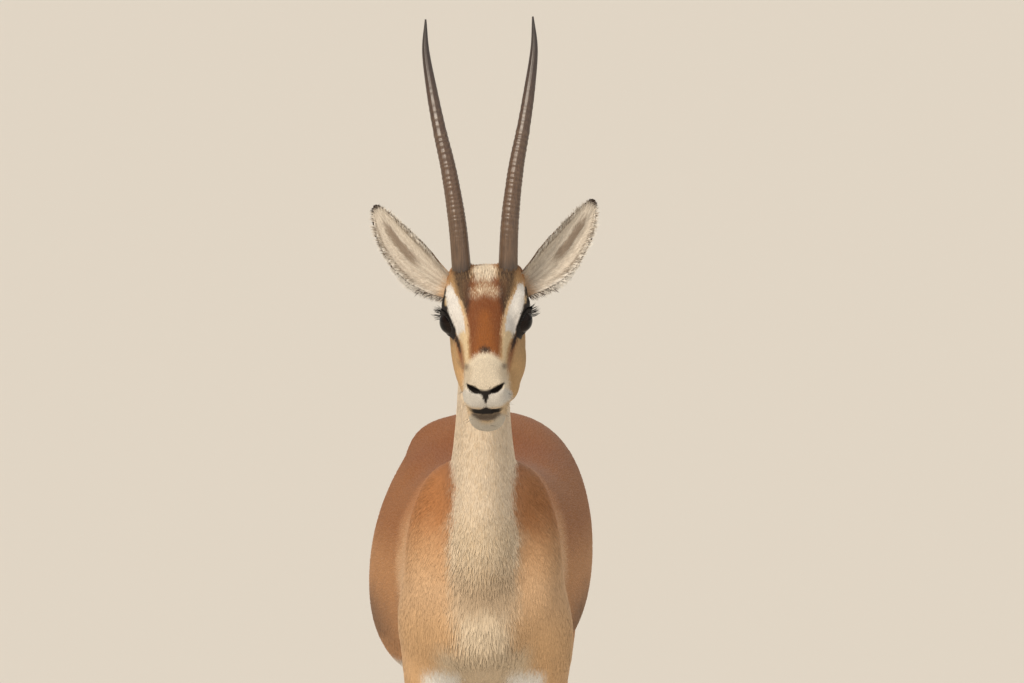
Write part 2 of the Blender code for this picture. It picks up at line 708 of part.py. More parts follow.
def add_eyelids(shape, frame, side):
    """Add a ring of lid round an eye, as a chain of overlapping beads."""
    facing = Vector((LID_FACING.x * side, LID_FACING.y, LID_FACING.z)).normalized()
    upward = Vector((0.0, 0.0, 1.0))
    along = facing.cross(upward).normalized()
    upward = along.cross(facing).normalized()
    centre = Vector((EYE_PLACE.x * side, EYE_PLACE.y, EYE_PLACE.z)) + facing * LID_OUT
    for step in range(LID_BEADS):
        angle = 2.0 * math.pi * step / LID_BEADS
        spot = centre + along * math.cos(angle) * LID_RADIUS * 1.06
        spot += upward * math.sin(angle) * LID_RADIUS * 0.92
        place = frame @ Matrix.Translation(spot)
        bmesh.ops.create_icosphere(shape, subdivisions=1, radius=LID_THICKNESS, matrix=place)


def mouth_cutter(frame):
    """A thin bent slab between the lips, lowest at the middle."""
    shape = bmesh.new()
    rings = []
    for step in range(MOUTH_STEPS + 1):
        across = MOUTH_HALF_WIDTH * (2.0 * step / MOUTH_STEPS - 1.0)
        level = MOUTH_LEVEL + MOUTH_RISE * across ** 2
        half = MOUTH_OPENING / 2.0 * (1.0 - 0.5 * (across / MOUTH_HALF_WIDTH) ** 2)
        narrow, raised = half * MOUTH_CORNER_SHARE, level + MOUTH_CORNER_RISE
        corners = (
            (MOUTH_CORNER, raised - narrow),
            (MOUTH_FRONT, level - half),
            (MOUTH_FRONT, level + half),
            (MOUTH_CORNER, raised + narrow),
        )
        rings.append([frame @ Vector((across, u, v)) for u, v in corners])
    add_loft(shape, rings)
    return to_mesh("mouth", shape)


def nostril_cutter(frame, side):
    """A slanting comma cut into the nose."""
    shape = bmesh.new()
    inner, outer, facing = (
        Vector((v.x * side, v.y, v.z)) for v in (NOSTRIL_INNER, NOSTRIL_OUTER, NOSTRIL_FACING)
    )
    along = (outer - inner) / 2.0
    inward = facing.normalized() * NOSTRIL_DEPTH
    height = along.cross(inward).normalized() * NOSTRIL_HALF_HEIGHT
    axes = Matrix.Translation((inner + outer) / 2.0)
    for column, axis in enumerate((along, inward, height)):
        axes.col[column][:3] = axis
    bmesh.ops.create_uvsphere(shape, u_segments=14, v_segments=8, radius=1.0, matrix=frame @ axes)
    return to_mesh("nostril", shape)


def horn_mesh(side):
    """A ringed horn, lofted along its curve."""
    stations = smooth_rows(HORN_STATIONS, 12)
    centres = [upright_frame() @ Vector((row[0] * side, row[1], row[2])) for row in stations]
    lengths = [0.0]
    for start, end in zip(centres, centres[1:]):
        lengths.append(lengths[-1] + (end - start).length)
    total = lengths[-1]
    ringed = RINGED_SHARE * total
    places = [ringed * step / (2.0 * HORN_RINGS) for step in range(2 * HORN_RINGS + 1)]
    places += [ringed + (total - ringed) * step / 8.0 for step in range(1, 9)]
    rings = []
    for number, place in enumerate(places):
        centre = Vector([np.interp(place, lengths, [c[axis] for c in centres]) for axis in range(3)])
        thickness = np.interp(place, lengths, [row[3] for row in stations]) * HORN_BASE_RADIUS
        after = Vector([
            np.interp(place + 0.002, lengths, [c[axis] for c in centres]) for axis in range(3)
        ])
        before = Vector([
            np.interp(place - 0.002, lengths, [c[axis] for c in centres]) for axis in range(3)
        ])
        tangent = (after - before).normalized()
        across = Vector((1.0, 0.0, 0.0))
        across = (across - tangent * across.dot(tangent)).normalized()
        back = tangent.cross(across)
        if place < ringed and number % 2:
            thickness += RING_RELIEF
        depth = thickness * HORN_DEPTH_RATIO
        rings.append([
            centre + across * thickness * side_part + back * depth * back_part
            for side_part, back_part in unit_oval(HORN_SIDES, 2.0)
        ])
    shape = bmesh.new()
    add_loft(shape, rings)
    return to_mesh("horn", shape)


def ear_mesh(side):
    """A cupped ear, thickened from an open sheet."""
    frame = upright_frame()
    root, bend, tip = (frame @ Vector((v.x * side, v.y, v.z)) for v in (EAR_ROOT, EAR_BEND, EAR_TIP))
    shares = [row[0] for row in EAR_SHAPE]
    shape = bmesh.new()
    grid = []
    for step in range(EAR_ROWS):
        t = 1.0 - (1.0 - step / (EAR_ROWS - 1)) ** 1.15
        centre = root * (1.0 - t) ** 2 + bend * 2.0 * t * (1.0 - t) + tip * t ** 2
        along = ((bend - root) * (1.0 - t) + (tip - bend) * t).normalized()
        face = Vector((0.16 * side, -1.0, 0.0))
        face = (face - along * face.dot(along)).normalized()
        across = along.cross(face)
        half = EAR_HALF_WIDTH * np.interp(t, shares, [row[1] for row in EAR_SHAPE])
        cup = half * np.interp(t, shares, [row[2] for row in EAR_SHAPE])
        line = []
        for column in range(EAR_COLUMNS):
            swing = (2.0 * column / (EAR_COLUMNS - 1) - 1.0) * math.radians(80.0)
            spot = centre + across * half * math.sin(swing) / math.sin(math.radians(80.0))
            spot = spot + face * cup * (1.0 - math.cos(swing)) / (1.0 - math.cos(math.radians(80.0)))
            line.append(shape.verts.new(spot))
        grid.append(line)
    for low, high in zip(grid, grid[1:]):
        for column in range(EAR_COLUMNS - 1):
            shape.faces.new((low[column], low[column + 1], high[column + 1], high[column]))
    item = add_object("ear", to_mesh("ear", shape), bpy.context.scene.collection)
    solidify = item.modifiers.new("thicken", "SOLIDIFY")
    solidify.thickness = EAR_THICKNESS
    solidify.offset = 0.0
    mesh = evaluated_mesh(item)
    bpy.data.objects.remove(item, do_unlink=True)
    return closed_outward(mesh)


def closed_outward(mesh):
    """Turn a closed mesh's faces out."""
    shape = bmesh.new()
    shape.from_mesh(mesh)
    bmesh.ops.recalc_face_normals(shape, faces=shape.faces)
    return to_mesh(mesh.name, shape)


def foot_place(end, side_name):
    """Where a foot stands: its middle line x and how far its heel and toe lie along y."""
    rows = FORELEG if end == "fore" else HINDLEG
    row = Leg(*rows[-1])
    swing = RUMP_SWING if end == "hind" else 0.0
    shift = STRIDES[end, side_name] * (1.0 - row.z / STRIDE_TOP)
    return SIDES[side_name] * row.x + swing, row.rear + shift


def coronet(end, side_name):
    """The slanting plane between a leg and its hooves, facing up the leg."""
    x, heel = foot_place(end, side_name)
    low = Vector((x, heel, CORONET_REAR))
    high = Vector((x, heel - HOOF_LENGTH * CORONET_SHARE, CORONET_FRONT))
    slope = high - low
    return low, Vector((0.0, slope.z, -slope.y)).normalized()


def hoof_mesh(end, side_name, toe_side):
    """One claw of a cloven hoof: flat below, pointed in front, flat towards its fellow."""
    x, heel = foot_place(end, side_name)
    point, facing = coronet(end, side_name)
    rings = []
    for level, spread, reach in HOOF_LEVELS:
        ring = []
        for along, across in HOOF_OUTLINE:
            y = heel + HOOF_LENGTH * reach * along
            out = HOOF_CLEFT / 2.0 + HOOF_WIDTH * spread * across
            out = (out - along * HOOF_LENGTH * math.sin(HOOF_SPLAY)) * toe_side
            top = point.z - (facing.y * (y - point.y)) / facing.z - GAP * 2.0
            ring.append((x + out, y, top if level == 1.0 else level))
        rings.append(ring)
    shape = bmesh.new()
    add_loft(shape, rings)
    bmesh.ops.triangulate(shape, faces=shape.faces)
    return to_mesh("hoof", shape)


def tail_rings():
    """Rings down the dock of the tail."""
    rings = []
    for row in smooth_rows(TAIL_LINE, 2):
        x, y, z, ratio = row
        slope = 0.5 if y < 0.41 else 0.0
        rings.append([
            (
                x + RUMP_SWING + TAIL_HALF_WIDTH * ratio * across,
                y + TAIL_HALF_DEPTH * ratio * along * (1.0 - slope),
                z + TAIL_HALF_DEPTH * ratio * along * slope * 1.6,
            )
            for across, along in unit_oval(TAIL_POINTS, 2.0)
        ])
    return rings


def lock_mesh(root, tip, bow, width, thickness, face):
    """One flat tapered lock of hair from root to tip, bowed by a vector."""
    rings = []
    for t, share in LOCK_SHAPE:
        centre = root * (1.0 - t) + tip * t + bow * 4.0 * t * (1.0 - t)
        along = (tip - root).normalized()
        across = along.cross(face).normalized()
        out = across.cross(along)
        rings.append([
            centre + across * width * share,
            centre + out * thickness * share,
            centre - across * width * share,
            centre - out * thickness * share,
        ])
    shape = bmesh.new()
    add_loft(shape, rings)
    bmesh.ops.triangulate(shape, faces=shape.faces)
    return to_mesh("lock", shape)


def tail_tuft_mesh():
    """The dark tuft: overlapping locks rooted round the lower dock and fused."""
    chance = random.Random(TUFT_SEED)
    locks = []
    for number in range(TUFT_LOCKS):
        share = number / (TUFT_LOCKS - 1)
        angle = number * 2.4
        out = Vector((math.cos(angle), 0.75 * math.sin(angle), 0.0))
        root = TUFT_START.lerp(TUFT_END, share)
        length = TUFT_LENGTH * (0.72 + 0.28 * chance.random())
        tip = root + Vector((0.0, 0.0, -length)) + out * (0.006 + 0.006 * chance.random())
        bow = out * LOCK_BOW
        locks.append(lock_mesh(root, tip, bow, LOCK_HALF_WIDTH, LOCK_HALF_DEPTH, out))
    shape = bmesh.new()
    rings = []
    for t, ratio in TUFT_CORE:
        centre = TUFT_START.lerp(TUFT_END - Vector((0.0, 0.0, TUFT_CORE_DROP)), t)
        wide, deep = (half * ratio for half in TUFT_CORE_HALF)
        rings.append([
            centre + Vector((wide * across, deep * along, 0.0))
            for across, along in unit_oval(10, 2.0)
        ])
    add_loft(shape, rings)
    return combine(to_mesh("tail_tuft", shape), locks, "UNION")


def build():
    """Build every node of the gazelle."""
    clear_scene()
    parts = make_collection("gazelle")
    fawn = make_material("fawn coat", (0.46, 0.27, 0.13), 0.85)
    cream = make_material("cream coat", (0.66, 0.52, 0.36), 0.85)
    rufous = make_material("rufous coat", (0.31, 0.13, 0.05), 0.85)
    black = make_material("black hair", (0.018, 0.014, 0.012), 0.80)
    horn = make_material("horn", (0.15, 0.10, 0.06), 0.42)
    hoof = make_material("hoof", (0.05, 0.04, 0.035), 0.50)
    eye = make_material("eye", (0.010, 0.006, 0.005), 0.10)

    body = body_mesh()
    head = cut_by(head_mesh(), *HEAD_CUT)
    below_head = cut_by(body, HEAD_CUT[0], -HEAD_CUT[1])
    nodes = {"head": (head, rufous)}
    nodes["neck"] = (cut_by(below_head, *NECK_CUT), cream)
    torso = cut_by(below_head, NECK_CUT[0], -NECK_CUT[1])

    cutters = []
    for side_name, side in SIDES.items():
        inner = (0.0 if side > 0.0 else -0.40, 0.40 if side > 0.0 else 0.0)
        fore_low = (inner[0], -0.60, -0.05)
        fore_high = (inner[1], ELBOW_REAR, ELBOW_HEIGHT)
        start, stop = sorted((THIGH_INNER * side + RUMP_SWING, 0.40 * side))
        hind_low, hind_high = (start, 0.0, -0.05), (stop, 0.60, 0.80)
        thigh = (THIGH_TOP, THIGH_FRONT)
        shin_low = (inner[0], 0.0, -0.05)
        shin_high = (inner[1], 0.60, STIFLE_HEIGHT)
        for end, blocks in (
            ("fore", ((fore_low, fore_high, ()),)),
            ("hind", ((hind_low, hind_high, thigh), (shin_low, shin_high, ()))),
        ):
            inside, outside = (
                [wedge(*block, margin) for block in blocks] for margin in (-GAP / 2.0, GAP / 2.0)
            )
            region = combine(inside[0], inside[1:], "UNION") if inside[1:] else inside[0]
            leg = combine(torso, [region], "INTERSECT")
            nodes[f"{end}leg_{side_name}"] = (cut_by(leg, *coronet(end, side_name)), fawn)
            cutters += outside
    nodes["torso"] = (combine(torso, cutters, "DIFFERENCE"), fawn)

    grown_head = grown_mesh(head, GAP)
    grown_torso = grown_mesh(nodes["torso"][0], GAP)
    dock = bmesh.new()
    add_loft(dock, tail_rings())
    tuft = tail_tuft_mesh()
    tail = combine(to_mesh("tail", dock), [grown_torso, grown_mesh(tuft, GAP)], "DIFFERENCE")
    nodes["tail"] = (tail, cream)
    nodes["tail_tuft"] = (tuft, black)
    for side_name, side in SIDES.items():
        nodes[f"eye_{side_name}"] = (eyeball(head_frame(), side, EYE_RADIUS), eye)
        nodes[f"horn_{side_name}"] = (combine(horn_mesh(side), [grown_head], "DIFFERENCE"), horn)
        nodes[f"ear_{side_name}"] = (combine(ear_mesh(side), [grown_head], "DIFFERENCE"), fawn)
        for end in ("fore", "hind"):
            for toe, toe_side in (("outer", side), ("inner", -side)):
                mesh = closed_outward(hoof_mesh(end, side_name, toe_side))
                nodes[f"hoof_{end}_{side_name}_{toe}"] = (mesh, hoof)

    for name, (mesh, material) in nodes.items():
        mesh.transform(Matrix.Translation((FRAME_X, FRAME_Y, 0.0)))
        item = add_object(name, mesh, parts, material)
        item.data.name = name
        item.data.shade_smooth()
        item.data.set_sharp_from_angle(angle=math.radians(40.0))


build()
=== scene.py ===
"""Dress a life-size gazelle: one skin, a short coat in tufts, ringed horns, eyes and hooves.

Lengths are in metres unless a name says mm. The animal's left is +X and it faces -Y.
"""

import sys

import logging
import math
from collections.abc import Callable, Iterable, Sequence
from dataclasses import dataclass
from enum import Enum

import bmesh
import bpy
import numpy as np
from mathutils import Matrix, Vector

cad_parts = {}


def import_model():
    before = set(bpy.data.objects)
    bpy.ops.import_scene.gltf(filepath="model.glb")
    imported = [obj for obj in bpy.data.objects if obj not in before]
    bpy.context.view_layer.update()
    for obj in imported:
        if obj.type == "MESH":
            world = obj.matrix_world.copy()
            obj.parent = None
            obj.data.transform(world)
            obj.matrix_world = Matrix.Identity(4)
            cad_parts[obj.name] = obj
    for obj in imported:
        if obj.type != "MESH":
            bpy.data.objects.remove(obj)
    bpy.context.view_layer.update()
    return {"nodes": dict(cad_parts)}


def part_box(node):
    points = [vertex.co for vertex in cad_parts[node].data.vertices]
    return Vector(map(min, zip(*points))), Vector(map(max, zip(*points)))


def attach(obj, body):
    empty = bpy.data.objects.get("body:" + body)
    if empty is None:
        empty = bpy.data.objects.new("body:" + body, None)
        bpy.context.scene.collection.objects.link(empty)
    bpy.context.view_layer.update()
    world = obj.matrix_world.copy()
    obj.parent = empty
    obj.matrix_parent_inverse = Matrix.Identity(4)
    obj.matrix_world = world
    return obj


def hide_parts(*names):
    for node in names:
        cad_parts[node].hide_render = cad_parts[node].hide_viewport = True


LOG = logging.getLogger("gazelle")
MM = 0.001
SIDES = {"left": 1.0, "right": -1.0}
LEGS = ("foreleg_left", "foreleg_right", "hindleg_left", "hindleg_right")
TRUNK_SHIFT = np.array((0.0042, 0.0846, 0.0))
FACE_PITCH = math.radians(37.0)
CAMERA_DROP = math.radians(4.0)
COAT_ATTRIBUTE = "coat_colour"
STRAND_ATTRIBUTE = "strand"
BAKE_MAP = "OFBake"


class Slot(Enum):
    """The record's material slots."""

    FACE = "face_coat"
    FAWN = "fawn_coat"
    PALE = "pale_coat"
    DARK = "dark_hair"
    EYE = "eye"
    HORN = "horn"
    HOOF = "hoof"


class Chart(Enum):
    """What a marking is laid out on: the face's front, or space itself round the head."""

    FACE = "the face from its front: out from the middle, and down"
    HEAD_SPACE = "the head's own frame: out, towards the nose, and up"


def linear(code: str) -> np.ndarray:
    """Turn an sRGB hex code to linear light.

    Args:
        code: Six hex digits after a hash sign.

    Returns:
        Red, green and blue from 0 to 1.
    """
    parts = np.array([int(code[place:place + 2], 16) / 255.0 for place in (1, 3, 5)])
    return np.where(parts <= 0.04045, parts / 12.92, ((parts + 0.055) / 1.055) ** 2.4)


def ramp(low: float, high: float, value: np.ndarray) -> np.ndarray:
    """Rise smoothly from 0 at low to 1 at high, or fall where high is under low."""
    share = np.clip((np.asarray(value, float) - low) / (high - low), 0.0, 1.0)
    return share * share * (3.0 - 2.0 * share)


def unit(vectors: np.ndarray) -> np.ndarray:
    """Scale each row to length 1."""
    return vectors / np.maximum(np.linalg.norm(vectors, axis=-1, keepdims=True), 1e-9)


def brush(rows: np.ndarray) -> Callable[[str | Sequence[float], np.ndarray], None]:
    """Make a brush that moves rows towards a colour or a direction, in place.

    Args:
        rows: Colours or directions.

    Returns:
        The brush. It takes a hex colour or a direction, and a weight for each row.
    """
    def lay(aim: str | Sequence[float], weight: np.ndarray) -> None:
        """Move each row towards the aim by its weight, held from 0 to 1."""
        target = linear(aim) if isinstance(aim, str) else np.array(aim)
        rows[:] += (target - rows) * np.clip(weight, 0.0, 1.0)[:, None]

    return lay


def mottle(points: np.ndarray, scale: float, seed: float = 0.0) -> np.ndarray:
    """Soft uneven patches from -1 to 1, as sums of crossing waves.

    Args:
        points: Places, one a row.
        scale: The usual width of a patch.
        seed: Shifts the pattern.

    Returns:
        One value a point.
    """
    turned = points @ np.array(((0.80, 0.36, -0.48), (-0.60, 0.48, -0.64), (0.0, 0.80, 0.60)))
    wave = 2.0 * math.pi / scale
    total = np.zeros(len(points))
    for octave, strength in ((1.0, 0.5), (1.9, 0.3), (3.7, 0.2)):
        x, y, z = (turned * wave * octave + seed * octave).T
        total += strength * np.sin(x + 1.3 * np.sin(0.7 * y)) * np.cos(y + 1.1 * np.sin(0.8 * z))
    return total


def new_object(name: str, mesh: bpy.types.Mesh) -> bpy.types.Object:
    """Put a mesh in the scene at the origin."""
    item = bpy.data.objects.new(name, mesh)
    bpy.context.scene.collection.objects.link(item)
    return item


def to_mesh(name: str, shape: bmesh.types.BMesh, outward: bool = False) -> bpy.types.Mesh:
    """Turn a bmesh into a mesh and free it, with its faces pointed outwards if asked."""
    if outward:
        bmesh.ops.recalc_face_normals(shape, faces=shape.faces)
    mesh = bpy.data.meshes.new(name)
    shape.to_mesh(mesh)
    shape.free()
    return mesh


def from_mesh(mesh: bpy.types.Mesh) -> bmesh.types.BMesh:
    """Open a mesh as a bmesh."""
    shape = bmesh.new()
    shape.from_mesh(mesh)
    return shape


def with_modifiers(mesh: bpy.types.Mesh, setups: Sequence[tuple[str, dict]]) -> bpy.types.Mesh:
    """Run a mesh through modifiers.

    Args:
        mesh: The mesh, which is left as it is.
        setups: Each modifier's type and settings.

    Returns:
        A new mesh with them applied.
    """
    item = new_object("working", mesh)
    for kind, settings in setups:
        modifier = item.modifiers.new(kind.lower(), kind)
        for key, value in settings.items():
            setattr(modifier, key, value)
    bpy.context.view_layer.update()
    graph = bpy.context.evaluated_depsgraph_get()
    result = bpy.data.meshes.new_from_object(item.evaluated_get(graph))
    bpy.data.objects.remove(item, do_unlink=True)
    return result


def cut(mesh: bpy.types.Mesh, tools: Sequence[bpy.types.Mesh]) -> bpy.types.Mesh:
    """Cut closed meshes out of a mesh.

    Args:
        mesh: The mesh that is cut.
        tools: The closed meshes that are taken out.

    Returns:
        The new mesh.
    """
    group = bpy.data.collections.new("tools")
    bpy.context.scene.collection.children.link(group)
    items = [bpy.data.objects.new("tool", tool) for tool in tools]
    for item in items:
        group.objects.link(item)
    settings = {"operation": "DIFFERENCE", "operand_type": "COLLECTION", "collection": group,
                "solver": "EXACT"}
    result = with_modifiers(mesh, [("BOOLEAN", settings)])
    for item in items:
        bpy.data.objects.remove(item, do_unlink=True)
    bpy.data.collections.remove(group)
    return result


def read_rows(source: bpy.types.bpy_prop_collection, key: str) -> np.ndarray:
    """Read three numbers from each item of a mesh's list."""
    rows = np.empty(len(source) * 3, np.float32)
    source.foreach_get(key, rows)
    return rows.reshape(-1, 3).astype(float)


def read_points(mesh: bpy.types.Mesh) -> np.ndarray:
    """Read a mesh's points as rows."""
    return read_rows(mesh.vertices, "co")


def read_normals(mesh: bpy.types.Mesh) -> np.ndarray:
    """Read a mesh's point normals as rows."""
    return read_rows(mesh.vertex_normals, "vector")


def write_points(mesh: bpy.types.Mesh, points: np.ndarray) -> None:
    """Give a mesh's points new places."""
    mesh.vertices.foreach_set("co", points.astype(np.float32).ravel())
    mesh.update()


def write_colours(mesh: bpy.types.Mesh, name: str, colours: np.ndarray) -> None:
    """Store a linear colour at each point of a mesh."""
    values = np.ones((len(colours), 4), np.float32)
    values[:, :3] = np.clip(colours, 0.0, 1.0)
    mesh.attributes.new(name, "FLOAT_COLOR", "POINT").data.foreach_set("color", values.ravel())


def write_values(mesh: bpy.types.Mesh, name: str, values: np.ndarray) -> None:
    """Store a number at each point of a mesh."""
    layer = mesh.attributes.new(name, "FLOAT", "POINT")
    layer.data.foreach_set("value", values.astype(np.float32))


def keep_largest(shape: bmesh.types.BMesh) -> None:
    """Drop every loose island of a bmesh but the one with most faces."""
    seen: set[bmesh.types.BMFace] = set()
    islands = []
    for start in shape.faces:
        if start in seen:
            continue
        seen.add(start)
        island, waiting = [start], [start]
        while waiting:
            for edge in waiting.pop().edges:
                for other in edge.link_faces:
                    if other not in seen:
                        seen.add(other)
                        island.append(other)
                        waiting.append(other)
        islands.append(island)
    islands.sort(key=len)
    scraps = [face for island in islands[:-1] for face in island]
    bmesh.ops.delete(shape, geom=scraps, context="FACES")


def settle_order(shape: bmesh.types.BMesh) -> None:
    """Sort points, edges and faces by place, because an exact cut leaves them in no fixed order."""
    for items in (shape.verts, shape.edges, shape.faces):
        spots = {item: sorted(vert.co[:] for vert in getattr(item, "verts", (item,)))
                 for item in items}
        ranks = {item: rank for rank, item in enumerate(sorted(items, key=spots.get))}
        items.sort(key=ranks.get)
        items.index_update()


def smooth(shape: bmesh.types.BMesh, verts: Iterable[bmesh.types.BMVert], rounds: int = 1) -> None:
    """Move points halfway to the mean of their neighbours, as often as rounds says."""
    for _ in range(rounds):
        bmesh.ops.smooth_vert(shape, verts=verts, factor=0.5, use_axis_x=True, use_axis_y=True,
                              use_axis_z=True)


def sweep(shape: bmesh.types.BMesh, rings: Sequence[Matrix], segments: int,
          closed: bool = False) -> None:
    """Draw a tube out of a circle, ring by ring, capped or closed to a loop.

    Args:
        shape: The bmesh that it is added to.
        rings: Each ring's place, turn and size, as what it does to a unit circle.
        segments: Points round each ring.
        closed: Whether the last ring is joined to the first.
    """
    first = bmesh.ops.create_circle(
        shape, cap_ends=False, segments=segments, radius=1.0, matrix=rings[0]
    )["verts"]
    edges = list(dict.fromkeys(edge for vert in first for edge in vert.link_edges))
    base = edges
    for before, after in zip(rings, rings[1:]):
        made = bmesh.ops.extrude_edge_only(shape, edges=edges)["geom"]
        verts = [part for part in made if isinstance(part, bmesh.types.BMVert)]
        edges = [part for part in made if isinstance(part, bmesh.types.BMEdge)]
        bmesh.ops.transform(shape, matrix=after @ before.inverted(), verts=verts)
    if closed:
        bmesh.ops.bridge_loops(shape, edges=base + edges)
        return
    bmesh.ops.holes_fill(shape, edges=base, sides=0)
    bmesh.ops.holes_fill(shape, edges=edges, sides=0)


@dataclass(frozen=True)
class HeadFrame:
    """The head's own frame, read from the CAD's eyes: out to the left, along the face, up."""

    centre: np.ndarray
    axes: np.ndarray

    @classmethod
    def from_eyes(cls) -> "HeadFrame":
        """Set the frame midway between the two eyes.

        Returns:
            The frame.
        """
        left, right = (sum(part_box(f"eye_{side}"), Vector()) / 2.0 for side in ("left", "right"))
        across = (left - right).normalized()
        back = Vector((-across.y, across.x, 0.0)).normalized()
        rise = across.cross(back)
        forward = -back * math.cos(FACE_PITCH) - rise * math.sin(FACE_PITCH)
        upward = -back * math.sin(FACE_PITCH) + rise * math.cos(FACE_PITCH)
        return cls(np.array((left + right) / 2.0), np.array((across, forward, upward)))

    def local(self, points: np.ndarray) -> np.ndarray:
        """Turn places to the head's frame: out, towards the nose, and up."""
        return (points - self.centre) @ self.axes.T

    def world(self, places: np.ndarray) -> np.ndarray:
        """Turn places in the head's frame to the row frame."""
        return np.asarray(places, float) @ self.axes + self.centre

    def matrix(self) -> Matrix:
        """The frame as a matrix."""
        made = Matrix.Identity(4)
        for column in range(3):
            made.col[column][:3] = self.axes[column]
        made.translation = Vector(self.centre)
        return made

    def upright(self, place: Sequence[float], side: float) -> Vector:
        """A place out, back and up from the eyes, in the level head frame, on one side."""
        across = Vector(self.axes[0])
        back = Vector((-across.y, across.x, 0.0)).normalized()
        rise = across.cross(back)
        out, behind, height = place
        return Vector(self.centre) + across * out * side + back * behind + rise * height


@dataclass(frozen=True)
class Mark:
    """One marking: a brush stroke of a colour along a path of places and half widths, in mm."""

    colour: str
    path: tuple[tuple[float, ...], ...]
    feather: float
    strength: float = 1.0
    speckle: float = 0.0
    chart: Chart = Chart.FACE
    facing: bool = True
    bare: bool = False
    near: float = 0.0

    def reach(self, places: np.ndarray) -> np.ndarray:
        """How far each place lies outside the stroke, in mm, less than 0 inside.

        Args:
            places: Chart places in mm, one a row.

        Returns:
            One distance a place.
        """
        size = places.shape[1]
        nearest = np.full(len(places), 1e9)
        for start, end in zip(self.path, self.path[1:] or self.path):
            low, high = np.array(start[:size]), np.array(end[:size])
            line = high - low
            share = np.clip((places - low) @ line / max(float(line @ line), 1e-9), 0.0, 1.0)
            gap = np.linalg.norm(places - low - share[:, None] * line, axis=1)
            nearest = np.minimum(nearest, gap - (start[size] + share * (end[size] - start[size])))
        return nearest

    def cover(self, places: np.ndarray) -> np.ndarray:
        """How strongly the stroke covers each place, from 0 to 1."""
        return self.strength * ramp(self.feather / 2.0, -self.feather / 2.0, self.reach(places))


BLACK_SKIN = "#17120f"
CREAM = "#ead7be"
FACE_MARKS = (
    Mark("#d9bd97", ((0, 130, 40), (0, 150, 40)), 16),
    Mark("#7d4420", ((0, -34, 26), (0, -10, 26), (0, 14, 22), (0, 40, 20)), 9, 1.0, 0.10),
    Mark("#9c5d29", ((0, -6, 7), (0, 24, 12), (0, 42, 15)), 14, 0.85, 0.4),
    Mark("#3a2b24", ((30, -68, 12.5), (28, -46, 9.5), (26, -26, 7), (25, -10, 3)), 9, 0.95, 0.22),
    Mark("#7a5334", ((26, -50, 3), (25, -30, 2)), 8, 0.4, 0.5),
    Mark("#f3e2c9", ((0, -62, 12), (7, -60, 9)), 9, 1.0, 0.1),
    Mark("#9a6b40", ((0, -44, 8), (10, -39, 7)), 9, 0.8, 0.3),
    Mark("#ecd9bd", ((0, -42, 7), (12, -36, 6)), 15, 0.9, 0.9),
    Mark("#d2a473", ((47, -47, 3), (54, -50, 3)), 6, 0.6),
    Mark("#dcbb92", ((38, -20, 9.5), (32.5, 0, 9.5), (28, 18, 7.5)), 4.0),
    Mark("#ebe6df", ((46, -43, 4.2), (45.2, -34, 6.4), (43.4, -27, 7.8), (40, -14, 8.8),
                     (35.6, -1, 8.6), (32.6, 12, 6.8), (31.0, 19, 5.6)), 1.6),
    Mark("#e6cda4", ((29, 20, 5.6), (27, 27, 4.2), (25.2, 36, 3.0), (24.5, 50, 2.4),
                     (25.5, 66, 2.4)), 2.6),
    Mark("#8c4d27", ((37, 28, 3.0), (33, 42, 3.4), (30, 56, 2.0), (28.5, 70, 0.3)), 6, 0.8),
    Mark("#2c1c15", ((41, 18, 3.0), (37.5, 26, 2.6), (34.5, 34, 1.8), (33, 40, 1.2)), 3),
    Mark("#e6d8c0", ((0, 62, 21), (5, 66, 21), (8, 84, 22), (0, 84, 22)), 9),
    Mark("#b9a68b", ((21, 62, 4), (23, 80, 3)), 8, 0.5),
    Mark("#8e7762", ((0, 70, 22),), 10, 0.35, 0.95),
    Mark("#6b584a", ((24.5, 58, 2.4), (25, 61, 2.2)), 6, 0.8),
    Mark("#3c3028", ((0, 37.5, 4.2), (4, 38, 2.8)), 6.5, 1.0, 0.12),
    Mark("#dad4ca", ((0, 103, 10), (15, 101, 11), (24, 97, 9)), 5),
    Mark("#4a3f39", ((0, 125, 4.6), (10, 124, 4.4), (16, 121, 3.0)), 4, 0.9),
    Mark("#c6bfb2", ((0, 142, 9), (10, 140, 9), (20, 128, 6)), 7, 0.9),
    Mark("#17110f", ((24, 81, 0.8), (19.5, 85.5, 2.6), (14, 89.5, 3.6), (8, 91.5, 2.8),
                     (0, 93.5, 3.4)), 2.0, bare=True),
    Mark("#241a17", ((0, 95, 5.2), (0, 98.5, 3.8), (0, 105, 1.2)), 2.2, bare=True),
    Mark("#120e0c", ((0, 116.2, 4.4), (5.5, 117.2, 3.4), (10, 117, 2.1), (17, 114.8, 0.8)), 1.8,
         bare=True),
    Mark("#6b5a4c", ((0, 103, 0.6), (0, 112, 0.6)), 2.2, 0.8),
    Mark(BLACK_SKIN, ((52.6, -42, 1.6), (54.6, -34, 3.0), (56.4, -26, 3.2), (57.5, -19, 4.4)),
         2.0, near=50.0),
    Mark("#c9b592", ((51.5, -27, 1.4), (51.5, -22, 0.9)), 2.0, 0.7, near=40.0),
    Mark(BLACK_SKIN, ((56, -20, 4.0), (54, -10, 6.4), (51, -1, 6.7), (47.5, 8, 7.0),
                      (45.5, 12, 6.8), (44.5, 20, 4.0)), 2.0, bare=True, near=25.0),
    Mark(BLACK_SKIN, ((41.2, -4.5, 4.0, 19.6), (41.2, 4.5, -4.6, 19.8)), 1.8, facing=False,
         bare=True, chart=Chart.HEAD_SPACE),
)
EYE_MIDDLE = np.array((41.2, 0.0, 0.0))


